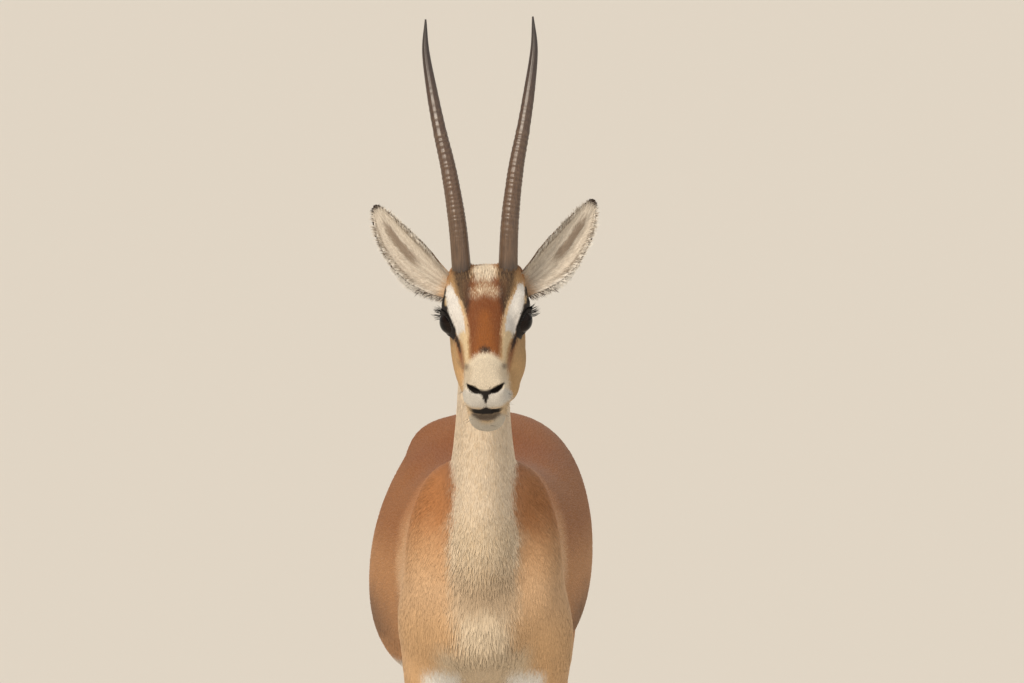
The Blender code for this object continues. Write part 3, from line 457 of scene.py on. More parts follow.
def laid(mark: Mark, charts: dict[Chart, np.ndarray]) -> np.ndarray:
    """How strongly a mark covers each place, less what lies too far from the eye for it.

    Args:
        mark: The mark.
        charts: The places on every chart.

    Returns:
        From 0 to 1, one a place.
    """
    cover = mark.cover(charts[mark.chart])
    if mark.near:
        away = np.linalg.norm(charts[Chart.HEAD_SPACE] - EYE_MIDDLE, axis=1)
        cover = cover * ramp(mark.near + 2.0, mark.near - 2.0, away)
    return cover


@dataclass
class Markings:
    """The coat's colours anywhere on the skin, from named marks and plain rules."""

    head: HeadFrame
    dewclaws: np.ndarray
    bare_dark: str = "#1d1714"
    dewclaw_radius: float = 0.0092

    @staticmethod
    def find_dewclaws(nodes: dict[str, bpy.types.Object], height: float = 0.080) -> np.ndarray:
        """Find the small claws behind the fetlocks on the CAD's legs.

        Args:
            nodes: The CAD's nodes.
            height: How high they sit.

        Returns:
            Their middles, one a row.
        """
        found = []
        for name in LEGS:
            points = read_points(nodes[name].data)
            points = points[np.abs(points[:, 2] - height) < 0.010]
            middle = (points[:, 0].max() + points[:, 0].min()) / 2.0
            for half in (points[points[:, 0] < middle], points[points[:, 0] >= middle]):
                tip = half[np.argmax(half[:, 1])]
                found.append(tip - (0.0, 0.0035, 0.0))
        return np.array(found)

    def on_dewclaw(self, points: np.ndarray) -> np.ndarray:
        """From 0 on the leg to 1 on a dewclaw."""
        away = np.linalg.norm(points[:, None] - self.dewclaws[None], axis=2).min(1)
        return ramp(self.dewclaw_radius, self.dewclaw_radius - 0.0025, away)

    def charts(self, points: np.ndarray) -> dict[Chart, np.ndarray]:
        """Lay places out on every chart, in mm.

        Args:
            points: Places in the row frame.

        Returns:
            The chart places, the same on both sides of the animal.
        """
        local = self.head.local(points) / MM
        tilt = FACE_PITCH + CAMERA_DROP
        down = local[:, 1] * math.sin(tilt) - local[:, 2] * math.cos(tilt)
        out = np.abs(local[:, 0])
        return {
            Chart.FACE: np.stack((out, down), 1),
            Chart.HEAD_SPACE: np.stack((out, local[:, 1], local[:, 2]), 1),
        }

    def body_colour(self, points: np.ndarray, normals: np.ndarray) -> np.ndarray:
        """The coat below the head.

        Args:
            points: Places in the row frame.
            normals: The way that the skin faces there.

        Returns:
            Linear colours, one a row.
        """
        x, y, z = ((points - TRUNK_SHIFT) / MM).T
        out = np.abs(x)
        edge = mottle(points, 0.06, 3.0) * 9.0
        colour = np.tile(linear("#a0683a"), (len(points), 1))
        lay = brush(colour)
        lay("#905730", ramp(740, 790, z + edge))
        lay("#bb8656", ramp(705, 640, z + edge))
        band = ramp(-210, 10, y) * ramp(300, 150, y) * ramp(528, 560, z + edge * 0.6)
        lay("#74502f", band * ramp(632, 572, z + edge * 1.5) * 0.8)
        shoulder = ramp(-120, -185, y + 0.35 * (700 - z) + edge)
        lay("#b87c4c", shoulder * ramp(820, 770, z))
        lay("#cfa378", shoulder * ramp(748, 668, z + edge))
        lay("#d8b38c", shoulder * ramp(690, 630, z + edge) * 0.8)
        lay("#d9b083", shoulder * ramp(640, 560, z) * ramp(-200, -300, y))
        lay("#a8764a", ramp(-150, -165, y) * ramp(-196, -184, y) * ramp(530, 560, z)
            * ramp(640, 600, z + edge) * 0.6)
        belly = ramp(526, 512, z + edge * 0.25) * ramp(-190, -120, y) * ramp(330, 260, y)
        lay("#efe8de", belly * ramp(-0.40, -0.75, normals[:, 2]))
        leg = ramp(520, 470, z) * np.maximum(ramp(-140, -175, y), ramp(60, 130, y))
        lay("#cda272", leg)
        lay("#c39a70", ramp(330, 200, z))
        inner = ramp(0.10, -0.45, normals[:, 0] * np.sign(x))
        lay("#ebdfcd", leg * inner * 0.85)
        lay("#e6d8c2", leg * ramp(0.35, 0.8, normals[:, 1]) * 0.6)
        lay("#e9e0d2", ramp(110, 70, z) * 0.35)
        lay("#8a6a4c", ramp(60, 40, z) * 0.7)
        haunch = ramp(60, 160, y) * ramp(520, 580, z)
        lay("#9b6439", haunch * 0.55)
        half = np.interp(z, (530, 600, 690, 745, 780, 805), (58, 64, 72, 68, 52, 30))
        behind = ramp(0.05, 0.40, normals[:, 1]) * ramp(235, 290, y)
        lay("#5d4330", ramp(half + 17, half + 7, out + edge * 0.3) * behind
            * ramp(600, 660, z) * ramp(800, 770, z) * 0.55)
        patch = ramp(half + 4, half - 4, out + edge * 0.4) * behind
        lay("#f2ece2", patch * ramp(515, 555, z) * ramp(812, 798, z + edge * 0.5))

        neck = ramp(0.0, 26.0, self.neck_side(points) / MM)
        front = ramp(0.62, 0.10, normals[:, 1] + 0.05 * edge / 9.0)
        lay("#b0764a", neck * ramp(790, 850, z))
        throat = np.interp(z, (560, 640, 700, 770, 800, 860), (34, 40, 43, 38, 40, 70))
        lay(CREAM, neck * front * ramp(throat + 5, throat - 4, out + edge * 0.35))
        brisket = ramp(-285, -330, y) * ramp(760, 700, z)
        brisket *= ramp(throat + 17, throat - 15, out + edge * 0.6)
        lay("#e2cdb0", brisket)
        lay("#ab8d6d", brisket * ramp(700, 630, z + edge) * ramp(590, 625, z + edge) * 0.6)
        ripple = np.sin(self.neck_side(points) / MM + 4.0 * mottle(points, 0.02, 5.0))
        lay("#d5b892", neck * front * ramp(0.1, 0.9, ripple) * ramp(throat, throat - 9, out) * 0.4)
        low = ramp(-180, -240, y) * ramp(575, 540, z + edge * 0.5)
        lay("#d8c2a4", low * ramp(76, 48, out))
        white = ramp(-120, -200, y) * ramp(532, 508, z + edge * 0.4) * ramp(400, 470, z)
        lay("#f4f1eb", white * ramp(26, 40, out) * ramp(88, 72, out))
        tail = ramp(396, 408, y) * ramp(770, 745, z)
        lay("#efe6da", tail)
        lay("#cba87f", tail * ramp(0.3, 0.8, normals[:, 1]) * ramp(9, 4, np.abs(x - 10.5)) * 0.5)
        lay("#1b1512", ramp(388, 404, y) * ramp(652, 632, z) * ramp(480, 540, z))
        lay("#2a211b", self.on_dewclaw(points))
        return colour

    @staticmethod
    def neck_side(points: np.ndarray) -> np.ndarray:
        """How far each place lies above the neck's foot, along the neck."""
        foot = np.array((0.0, -0.268, 0.735)) + TRUNK_SHIFT
        return (points - foot) @ np.array((0.0, -0.681, 0.732))

    @staticmethod
    def head_side(points: np.ndarray) -> np.ndarray:
        """How far each place lies above the neck's top, towards the head."""
        top = np.array((0.0, -0.398, 0.978)) + TRUNK_SHIFT
        return (points - top) @ np.array((0.0, -0.832, 0.555))

    def head_colour(self, points: np.ndarray, normals: np.ndarray, draws: np.ndarray) -> np.ndarray:
        """The coat of the head.

        Args:
            points: Places in the row frame.
            normals: The way that the skin faces there.
            draws: A random number from 0 to 1 for each place, for grizzled hair.

        Returns:
            Linear colours, one a row.
        """
        charts = self.charts(points)
        _, u, v = charts[Chart.HEAD_SPACE].T
        tilted = normals @ self.head.axes.T
        colour = np.tile(linear("#c29d70"), (len(points), 1))
        lay = brush(colour)
        lay("#b07a4c", ramp(-25, -60, u) * ramp(0.0, 0.4, tilted[:, 2]))
        lay("#a8744a", ramp(0.35, 0.8, normals[:, 1]))
        lay("#cfa878", ramp(10, 60, u))
        lay("#e3cba6", ramp(-0.1, -0.6, tilted[:, 2]) * ramp(30, -10, u - 60))
        lay("#e0d0b8", ramp(-0.3, -0.8, tilted[:, 2]))
        lay("#eadfcd", ramp(34, 10, np.hypot(u + 58, v + 12)) * 0.45)
        facing = ramp(-0.22, 0.02, -normals[:, 1])
        for mark in FACE_MARKS:
            weight = laid(mark, charts) * (facing if mark.facing else 1.0)
            lay(mark.colour, weight * (1.0 - mark.speckle * ramp(0.25, 0.75, draws)))
        return colour

    def colour(self, points: np.ndarray, normals: np.ndarray, draws: np.ndarray) -> np.ndarray:
        """The coat's colour anywhere on the skin.

        Args:
            points: Places in the row frame.
            normals: The way that the skin faces there.
            draws: A random number from 0 to 1 for each place.

        Returns:
            Linear colours, one a row.
        """
        share = ramp(-0.020, 0.012, self.head_side(points))[:, None]
        share = share * ramp(0.80, 0.86, points[:, 2])[:, None]
        body = self.body_colour(points, normals)
        return body + (self.head_colour(points, normals, draws) - body) * share


@dataclass(frozen=True)
class CoatFinish:
    """Hair on hide: matt, with a soft sheen, broken into streaks that run along each tuft."""

    name: str
    roughness: float
    sheen: float
    streak_mm: float
    relief: float
    tuft: bool = True


# The hide only shows between tufts, so it is the most matt. The face's hair is the finest and
# closest, the body's lies flat and catches light along its lie, and the long hair is softest.
SKIN_FINISH = CoatFinish("short_hair_on_hide", 0.80, 0.05, 1.4, 0.30, False)
BODY_COAT = CoatFinish("sleek_guard_hair", 0.64, 0.06, 0.5, 0.25)
FACE_COAT = CoatFinish("fine_face_hair", 0.68, 0.05, 0.4, 0.22)
LONG_COAT = CoatFinish("soft_long_hair", 0.62, 0.05, 0.4, 0.25)


def set_stops(elements: bpy.types.ColorRampElements, stops: Sequence[tuple[float, str]]) -> None:
    """Give a ramp its colours, each with its place from 0 to 1."""
    for number, (spot, code) in enumerate(stops):
        element = elements[number] if number < len(elements) else elements.new(spot)
        element.position = spot
        element.color = (*linear(code), 1.0)


def set_inputs(node: bpy.types.Node, values: dict) -> None:
    """Set a node's plain inputs by name."""
    for key, value in values.items():
        node.inputs[key].default_value = value


def add_node(tree: bpy.types.NodeTree, kind: str, settings: dict, links: dict) -> bpy.types.Node:
    """Add a node to a material.

    Args:
        tree: The material's node tree.
        kind: The node's type name, less ShaderNode.
        settings: Its own properties, its inputs' values by input name or number, and a ramp's
            colours as stops.
        links: The sockets that feed its inputs, by input name or number.

    Returns:
        The node.
    """
    node = tree.nodes.new(f"ShaderNode{kind}")
    for key, value in settings.items():
        if key == "stops":
            set_stops(node.color_ramp.elements, value)
        elif isinstance(key, str) and hasattr(node, key):
            setattr(node, key, value)
        else:
            node.inputs[key].default_value = value
    for key, socket in links.items():
        tree.links.new(socket, node.inputs[key])
    return node


def new_material(name: str) -> tuple[bpy.types.Material, bpy.types.NodeTree, bpy.types.Node]:
    """Make a material with one Principled shader.

    Args:
        name: The material's name.

    Returns:
        The material, its tree and its shader.
    """
    material = bpy.data.materials.new(name)
    material.use_nodes = True
    tree = material.node_tree
    return material, tree, tree.nodes["Principled BSDF"]


def coat_material(finish: CoatFinish) -> bpy.types.Material:
    """Hair: the markings' colour with its painted shade at tuft roots and on the skin between
    tufts, broken by fine streaks along each tuft.

    Args:
        finish: The coat's roughness, sheen and streaks.

    Returns:
        The material.
    """
    material, tree, shader = new_material(finish.name)
    colour = add_node(tree, "Attribute", {"attribute_name": COAT_ATTRIBUTE}, {})
    if finish.tuft:
        strand = add_node(tree, "Attribute", {"attribute_name": STRAND_ATTRIBUTE}, {})
        place = strand.outputs["Vector"]
        scale = 1.0
    else:
        place = add_node(tree, "TexCoord", {}, {}).outputs["Object"]
        scale = 1.0 / (finish.streak_mm * MM)
    streaks = add_node(tree, "TexNoise", {"Scale": scale, "Detail": 3.0, "Roughness": 0.6},
                       {"Vector": place})
    shade = add_node(tree, "MapRange", {"From Min": 0.3, "From Max": 0.7, "To Min": 0.80,
                                        "To Max": 1.14}, {"Value": streaks.outputs["Fac"]})
    toned = add_node(tree, "VectorMath", {"operation": "SCALE"},
                     {0: colour.outputs["Color"], "Scale": shade.outputs["Result"]})
    bump = add_node(tree, "Bump", {"Strength": finish.relief, "Distance": 0.3 * MM},
                    {"Height": streaks.outputs["Fac"]})
    tree.links.new(toned.outputs["Vector"], shader.inputs["Base Color"])
    tree.links.new(bump.outputs["Normal"], shader.inputs["Normal"])
    set_inputs(shader, {"Roughness": finish.roughness, "Sheen Weight": finish.sheen,
                        "Sheen Roughness": 0.45, "Specular IOR Level": 0.28})
    return material


@dataclass
class Ear:
    """One cupped ear: a pointed shell of skin over a curved middle line."""

    head: HeadFrame
    side: float
    half_width: float = 0.0262
    thickness: float = 0.0020
    swing: float = math.radians(80.0)
    root: tuple = (0.0430, 0.050, 0.040)
    bend: tuple = (0.1060, 0.060, 0.074)
    tip: tuple = (0.1430, 0.064, 0.151)
    shares: tuple = (0.00, 0.15, 0.35, 0.50, 0.70, 0.85, 0.95, 1.00)
    widths: tuple = (0.52, 0.74, 0.97, 1.00, 0.84, 0.56, 0.27, 0.07)
    cups: tuple = (1.15, 0.90, 0.62, 0.50, 0.38, 0.26, 0.12, 0.02)
    rows: int = 44
    columns: int = 22

    def place(self, across: np.ndarray, along: np.ndarray) -> np.ndarray:
        """Places on the ear's middle sheet.

        Args:
            across: From -1 at one rim to 1 at the other.
            along: From 0 at the root to 1 at the tip.

        Returns:
            Places in the row frame, one a row.
        """
        root, bend, tip = (np.array(self.head.upright(p, self.side))
                           for p in (self.root, self.bend, self.tip))
        t = (1.0 - (1.0 - along) ** 1.15)[:, None]
        centre = root * (1.0 - t) ** 2 + bend * 2.0 * t * (1.0 - t) + tip * t ** 2
        line = unit((bend - root) * (1.0 - t) + (tip - bend) * t)
        face = np.tile(np.array((0.16 * self.side, -1.0, 0.0)), (len(t), 1))
        face = unit(face - line * np.sum(line * face, axis=1, keepdims=True))
        sideways = np.cross(line, face)
        half = self.half_width * np.interp(t[:, 0], self.shares, self.widths)
        cup = half * np.interp(t[:, 0], self.shares, self.cups)
        angle = across * self.swing
        ridge = 0.0012 * np.cos(across * 9.0) * np.sin(np.pi * np.clip(along * 1.1, 0.0, 1.0))
        rise = cup * (1.0 - np.cos(angle)) / (1.0 - math.cos(self.swing)) + ridge
        out = half * np.sin(angle) / math.sin(self.swing)
        return centre + sideways * out[:, None] + face * rise[:, None]

    def normal(self, across: np.ndarray, along: np.ndarray) -> np.ndarray:
        """The way that the inside of the ear faces."""
        step = 0.01
        low, high = np.clip(along - step, 0.0, 1.0), np.clip(along + step, 0.0, 1.0)
        up = self.place(across, high) - self.place(across, low)
        wide = self.place(across + step, along) - self.place(across - step, along)
        made = unit(np.cross(wide, up))
        flip = np.where(made[:, 1] > 0.0, -1.0, 1.0)
        middle = unit(np.cross(self.place(across * 0.0 + step, along)
                               - self.place(across * 0.0 - step, along), up))
        turn = np.where(middle[:, 1] > 0.0, -1.0, 1.0)
        return made * np.where(np.abs(across) > 0.2, turn, flip)[:, None]

    def mesh(self) -> bpy.types.Mesh:
        """The ear's skin as a thin closed shell.

        Returns:
            The mesh.
        """
        shape = bmesh.new()
        bmesh.ops.create_grid(shape, x_segments=self.columns, y_segments=self.rows, size=1.0)
        flat = np.array([vert.co for vert in shape.verts])
        for vert, place in zip(shape.verts, self.place(flat[:, 0], (flat[:, 1] + 1.0) / 2.0)):
            vert.co = place
        settings = {"thickness": self.thickness, "offset": 0.0}
        shell = with_modifiers(to_mesh("ear", shape, outward=True), [("SOLIDIFY", settings)])
        return to_mesh("ear", from_mesh(shell), outward=True)

    def colour(self, across: np.ndarray, along: np.ndarray, inside: np.ndarray,
               draws: np.ndarray) -> np.ndarray:
        """The ear's colours.

        Args:
            across: From -1 at one rim to 1 at the other.
            along: From 0 at the root to 1 at the tip.
            inside: 1 on the inner face and 0 on the back.
            draws: A random number from 0 to 1 for each place.

        Returns:
            Linear colours, one a row.
        """
        rim = np.abs(across)
        colour = np.tile(linear("#b48a60"), (len(rim), 1))
        lay = brush(colour)
        lay("#8d6a4b", ramp(0.55, 0.9, along))
        lay("#e9dfd0", inside)
        streak = 0.5 + 0.5 * np.sin(across * 34.0 + 9.0 * along)
        lay("#a8947f", inside * streak * 0.45)
        lay("#85705d", inside * ramp(0.20, 0.06, rim + 0.10 * (draws - 0.5))
            * ramp(0.28, 0.42, along) * ramp(0.84, 0.70, along) * 0.8)
        lay("#75624f", inside * ramp(0.07, 0.02, np.abs(rim - 0.66 + 0.06 * draws))
            * ramp(0.20, 0.34, along) * 0.75)
        lay("#f4eee4", inside * ramp(0.70, 0.78, rim) * ramp(0.95, 0.88, rim))
        lay("#d9b48a", inside * ramp(0.11, 0.03, along) * 0.8)
        lay("#3d2b20", ramp(0.93, 0.985, rim) * ramp(0.12, 0.24, along) * (0.55 + 0.45 * inside))
        lay("#35271f", ramp(0.90, 0.965, along))
        return colour


@dataclass
class Skin:
    """The one skin over head, neck, trunk, legs, ears and dock, fine on the head."""

    head: HeadFrame
    markings: Markings
    nodes: dict[str, bpy.types.Object]
    ears: dict[str, Ear]
    body_voxel: float = 0.0058
    head_voxel: float = 0.0020
    overlap: float = 0.00025
    join_point: tuple = (0.0, -0.382, 0.925)
    join_facing: tuple = (0.0, -0.680, 0.733)
    join_gap: float = 0.0012
    join_reach: float = 0.010
    join_rounds: int = 6
    face_coat: float = 0.0009
    neck_more: float = 0.0006
    trunk_more: float = 0.0008
    eye_place: tuple = (0.0412, 0.0, 0.0)
    eye_radius: float = 0.0185
    lid_facing: tuple = (1.0, 0.50, 0.16)
    lid_out: float = 0.0098
    lid_radius: float = 0.0170
    lid_thickness: float = 0.0025
    lid_steps: int = 44
    upper_lid: float = 0.75
    nostril_inner: tuple = (0.0065, 0.1470, 0.0040)
    nostril_outer: tuple = (0.0250, 0.1370, 0.0105)
    nostril_facing: tuple = (0.35, 0.75, 0.55)
    nostril_half_height: float = 0.0036
    nostril_depth: float = 0.0085
    mouth_corner: float = 0.088
    mouth_front: float = 0.175
    mouth_level: float = -0.0240
    mouth_rise: float = 5.0
    mouth_corner_rise: float = 0.001
    mouth_half_height: float = 0.0029
    mouth_half_width: float = 0.036
    body_nodes: tuple = ("head", "neck", "torso", *LEGS, "tail")

    def gathered(self, names: Iterable[str]) -> bmesh.types.BMesh:
        """Copies of CAD nodes in one bmesh, swelled just enough to close the cuts between them.

        Args:
            names: The nodes.

        Returns:
            The bmesh.
        """
        shape = bmesh.new()
        for name in names:
            shape.from_mesh(self.nodes[name].data)
        bmesh.ops.remove_doubles(shape, verts=shape.verts, dist=1e-6)
        shape.normal_update()
        for vert, normal in [(vert, vert.normal.copy()) for vert in shape.verts]:
            vert.co += normal * self.overlap
        return shape

    def fused(self, shape: bmesh.types.BMesh, voxel: float) -> bmesh.types.BMesh:
        """Fuse closed shells to one surface of even squares."""
        settings = {"mode": "VOXEL", "voxel_size": voxel}
        made = from_mesh(with_modifiers(to_mesh("flesh", shape), [("REMESH", settings)]))
        keep_largest(made)
        return made

    @staticmethod
    def softened(shape: bmesh.types.BMesh, rounds: Callable[[np.ndarray], np.ndarray]) -> None:
        """Smooth a surface, more where it is broad.

        Args:
            shape: The bmesh.
            rounds: Gives how often each place is smoothed.
        """
        verts = list(shape.verts)
        wanted = rounds(np.array([vert.co for vert in verts]))
        for step in range(int(wanted.max())):
            chosen = [verts[number] for number in np.flatnonzero(wanted > step)]
            smooth(shape, chosen)

    def lid_ring(self, shape: bmesh.types.BMesh, side: float) -> None:
        """Add the ring of lid round an eye: a small circle led round the way that the eye looks."""
        facing = Vector(self.lid_facing).normalized()
        facing.x *= side
        centre = Vector(self.eye_place)
        centre.x *= side
        centre += facing * self.lid_out
        along = facing.cross(Vector((0.0, 0.0, 1.0))).normalized() * side
        turn = Matrix((along, facing.cross(along), facing)).transposed().to_4x4()
        place = self.head.matrix() @ Matrix.Translation(centre) @ turn
        place = place @ Matrix.Diagonal((1.07, 0.93, 1.0, 1.0))
        rings = []
        for step in range(self.lid_steps):
            angle = 2.0 * math.pi * step / self.lid_steps
            upper = max(0.0, Vector((math.cos(angle), math.sin(angle), 0.0)).dot(
                (turn.inverted() @ Vector((0.0, -0.35, 1.0))).normalized()))
            thick = self.lid_thickness * (1.0 + self.upper_lid * upper)
            rings.append(place @ Matrix.Rotation(angle, 4, "Z")
                         @ Matrix.Translation((self.lid_radius, 0.0, 0.0012 * upper))
                         @ Matrix.Rotation(math.radians(90.0), 4, "X")
                         @ Matrix.Scale(thick, 4))
        sweep(shape, rings, 12, closed=True)

    def eyeball(self, side: float, radius: float) -> bpy.types.Mesh:
        """A fine ball in an eye's place."""
        shape = bmesh.new()
        place = Matrix.Translation((self.eye_place[0] * side, *self.eye_place[1:]))
        bmesh.ops.create_icosphere(shape, subdivisions=5, radius=radius,
                                   matrix=self.head.matrix() @ place)
        return to_mesh("socket", shape, outward=True)

    def nostril(self, side: float) -> bpy.types.Mesh:
        """A slanting comma in the nose."""
        inner, outer, facing = (Vector((v[0] * side, *v[1:])) for v in (
            self.nostril_inner, self.nostril_outer, self.nostril_facing))
        along = (outer - inner) / 2.0
        inward = facing.normalized() * self.nostril_depth
        height = along.cross(inward).normalized() * self.nostril_half_height
        axes = Matrix.Translation((inner + outer) / 2.0)
        axes.col[0][:3] = along
        axes.col[1][:3] = inward
        axes.col[2][:3] = height
        shape = bmesh.new()
        bmesh.ops.create_uvsphere(shape, u_segments=32, v_segments=20, radius=1.0,
                                  matrix=self.head.matrix() @ axes)
        for vert in shape.verts:
            away = Vector(self.head.local(np.array(vert.co))) - inner
            share = away.dot(along) / along.length_squared / 2.0
            lift = 0.0022 * math.sin(math.pi * min(max(share, 0.0), 1.0)) ** 2
            vert.co -= Vector(self.head.axes[2]) * lift
        return to_mesh("nostril", shape, outward=True)

    def creases(self, points: np.ndarray) -> np.ndarray:
        """How far folds and swellings move the head's skin out, in metres.

        Args:
            points: Places in the row frame.

        Returns:
            One distance a place.
        """
        local = self.head.local(points) / MM
        local[:, 0] = np.abs(local[:, 0])
        total = np.zeros(len(points))
        for depth, width, path in HEAD_FOLDS:
            stroke = Mark("", path, 1.0)
            total += depth * MM * np.exp(-(np.maximum(stroke.reach(local), 0.0) / width) ** 2)
        return total

    def head_shape(self) -> bmesh.types.BMesh:
        """The head and the top of the neck, with lids, sockets, nostrils and mouth.

        Returns:
            The bmesh.
        """
        shape = self.gathered(("head", "neck", "eye_left", "eye_right"))
        for side in SIDES.values():
            self.lid_ring(shape, side)
        shape = self.fused(shape, self.head_voxel)
        self.softened(shape, self.head_rounds)
        mesh = to_mesh("head", shape)
        points, normals = read_points(mesh), read_normals(mesh)
        depth = self.face_coat + self.neck_more * ramp(0.02, -0.04, self.markings.head_side(points))
        write_points(mesh, points + normals * (self.creases(points) - depth)[:, None])
        tools = [self.nostril(side) for side in SIDES.values()]
        tools += [self.eyeball(side, self.eye_radius + 0.0001) for side in SIDES.values()]
        shape = from_mesh(cut(mesh, tools))
        settle_order(shape)
        return shape

    def head_rounds(self, points: np.ndarray) -> np.ndarray:
        """How often each place of the head is smoothed: least at lids, lips and nose."""
        local = self.head.local(points)
        out = np.abs(local[:, 0])
        eye = np.linalg.norm(np.stack((out, local[:, 1], local[:, 2]), 1) - self.eye_place, axis=1)
        fine = np.maximum(ramp(0.036, 0.024, eye), ramp(0.110, 0.135, local[:, 1]))
        broad = ramp(0.02, -0.03, self.markings.head_side(points))
        return 14.0 - 10.0 * fine + 24.0 * broad

    def body_rounds(self, points: np.ndarray) -> np.ndarray:
        """How often each place of the body is smoothed: most on the trunk and neck."""
        _, y, z = (points - TRUNK_SHIFT).T
        tail = ramp(0.392, 0.402, y) * ramp(0.775, 0.765, z)
        return 4.0 + 32.0 * ramp(0.47, 0.58, z) * (1.0 - tail)

    def body_shape(self) -> bmesh.types.BMesh:
        """The trunk, neck, legs and dock, drawn in by the coat's depth.

        Returns:
            The bmesh.
        """
        shape = self.fused(self.gathered(self.body_nodes), self.body_voxel)
        self.softened(shape, self.body_rounds)
        mesh = to_mesh("body", shape)
        points, normals = read_points(mesh), read_normals(mesh)
        depth = (self.face_coat + self.trunk_more * ramp(0.40, 0.60, points[:, 2])
                 + self.overlap)
        write_points(mesh, points - normals * depth[:, None])
        return from_mesh(mesh)

    def trimmed(self, shape: bmesh.types.BMesh, above: bool, gap: float) -> None:
        """Keep the part of a bmesh above or below the join in the neck, and a gap from it."""
        facing = Vector(self.join_facing).normalized() * (1.0 if above else -1.0)
        point = Vector(self.join_point) + Vector(TRUNK_SHIFT) + facing * gap
        bmesh.ops.bisect_plane(shape, geom=[*shape.verts, *shape.edges, *shape.faces], dist=1e-6,
                               plane_co=point, plane_no=facing, clear_inner=True)
        if above:
            keep_largest(shape)

    def build(self, material: bpy.types.Material) -> bpy.types.Object:
        """Make the skin and let it stand for the flesh nodes.

        Args:
            material: Its finish.

        Returns:
            The skin.
        """
        upper, lower = self.head_shape(), self.body_shape()
        self.trimmed(upper, True, self.join_gap)
        self.trimmed(lower, False, self.join_gap)
        keep_largest(lower)
        lower.from_mesh(to_mesh("upper", upper))
        rims = [edge for edge in lower.edges if edge.is_boundary]
        bmesh.ops.bridge_loops(lower, edges=rims)
        facing = Vector(self.join_facing).normalized()
        point = Vector(self.join_point) + Vector(TRUNK_SHIFT)
        near = [vert for vert in lower.verts
                if abs((vert.co - point).dot(facing)) < self.join_reach]
        smooth(lower, near, self.join_rounds)
        bmesh.ops.triangulate(lower, faces=[f for f in lower.faces if len(f.verts) > 4])
        bmesh.ops.recalc_face_normals(lower, faces=lower.faces)
        self.bare_count = len(lower.verts)
        for ear in self.ears.values():
            lower.from_mesh(ear.mesh())
        mesh = to_mesh("skin", lower)
        mesh.shade_smooth()
        self.dress(mesh)
        item = new_object("skin", mesh)
        mesh.materials.append(material)
        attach(item, "root")
        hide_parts(*self.body_nodes, "ear_left", "ear_right")
        return item

    def dress(self, mesh: bpy.types.Mesh) -> None:
        """Store the markings on the skin: a little darker all over, as painted shade between the
        tufts, and dark where the skin is bare.
        """
        points, normals = read_points(mesh), read_normals(mesh)
        draws = np.full(len(points), 0.5)
        # Painted shade: the skin is a tenth darker than its coat, as it looks down between the
        # tufts.
        colours = self.markings.colour(points, normals, draws) * 0.90
        start = self.bare_count
        size = (len(points) - start) // len(self.ears)
        for ear in self.ears.values():
            stop = start + size
            across, along = self.ear_chart(ear)
            # Painted shade: the ears' skin is darker too, as it looks between their hairs.
            colours[start:stop] = ear.colour(np.tile(across, 2)[:size], np.tile(along, 2)[:size],
                                             self.inside_of(ear, points[start:stop]),
                                             draws[start:stop]) * 0.92
            start = stop
        bare = bare_skin(self, points)
        colours[:self.bare_count] += (linear(self.markings.bare_dark)
                                      - colours[:self.bare_count]) * bare[:self.bare_count, None]
        write_colours(mesh, COAT_ATTRIBUTE, colours)

    @staticmethod
    def ear_chart(ear: Ear) -> tuple[np.ndarray, np.ndarray]:
        """Where each point of the ear's grid lies, across and along it."""
        across, along = np.meshgrid(np.linspace(-1.0, 1.0, ear.columns + 1),
                                    np.linspace(0.0, 1.0, ear.rows + 1))
        return across.ravel(), along.ravel()

    @staticmethod
    def inside_of(ear: Ear, points: np.ndarray) -> np.ndarray:
        """Tell the ear's inner face from its back, point by point."""
        across, along = Skin.ear_chart(ear)
        middle = np.tile(ear.place(across, along), (2, 1))[:len(points)]
        facing = np.tile(ear.normal(across, along), (2, 1))[:len(points)]
        return (np.sum((points - middle) * facing, axis=1) > 0.0).astype(float)


HEAD_FOLDS = (
    (0.9, 2.6, ((44.0, -19.0, 19.0, 0.3), (42.0, -2.0, 25.5, 0.3), (37.0, 15.0, 18.0, 0.3))),
    (-0.9, 1.9, ((48.0, -18.0, 14.5, 0.2), (46.0, -4.0, 21.0, 0.2), (39.5, 14.0, 15.5, 0.2))),
    (-1.3, 3.0, ((36.5, 19.5, -7.0, 0.4), (31.0, 30.0, -10.0, 0.3))),
    (-0.8, 3.0, ((29.0, 36.0, -13.0, 0.3), (26.0, 64.0, -16.0, 0.3))),
    (-0.9, 1.5, ((0.0, 151.0, 0.0, 0.2), (0.0, 155.0, -12.0, 0.2), (0.0, 151.0, -20.0, 0.2))),
    (0.8, 3.0, ((9.0, 148.0, 9.0, 0.6), (24.0, 136.0, 16.0, 0.6))),
    (-0.7, 1.8, ((28.0, 132.0, 8.0, 0.2), (29.5, 126.0, 0.0, 0.2), (28.0, 124.0, -10.0, 0.2))),
    (-0.8, 2.0, ((28.0, 98.0, -19.0, 0.2), (32.0, 86.0, -23.0, 0.2))),
    (0.7, 3.4, ((27.0, 108.0, -13.0, 1.0), (26.0, 134.0, -12.0, 1.0))),
    (0.6, 3.0, ((26.0, 112.0, -33.0, 0.6), (18.0, 136.0, -34.0, 0.6))),
)


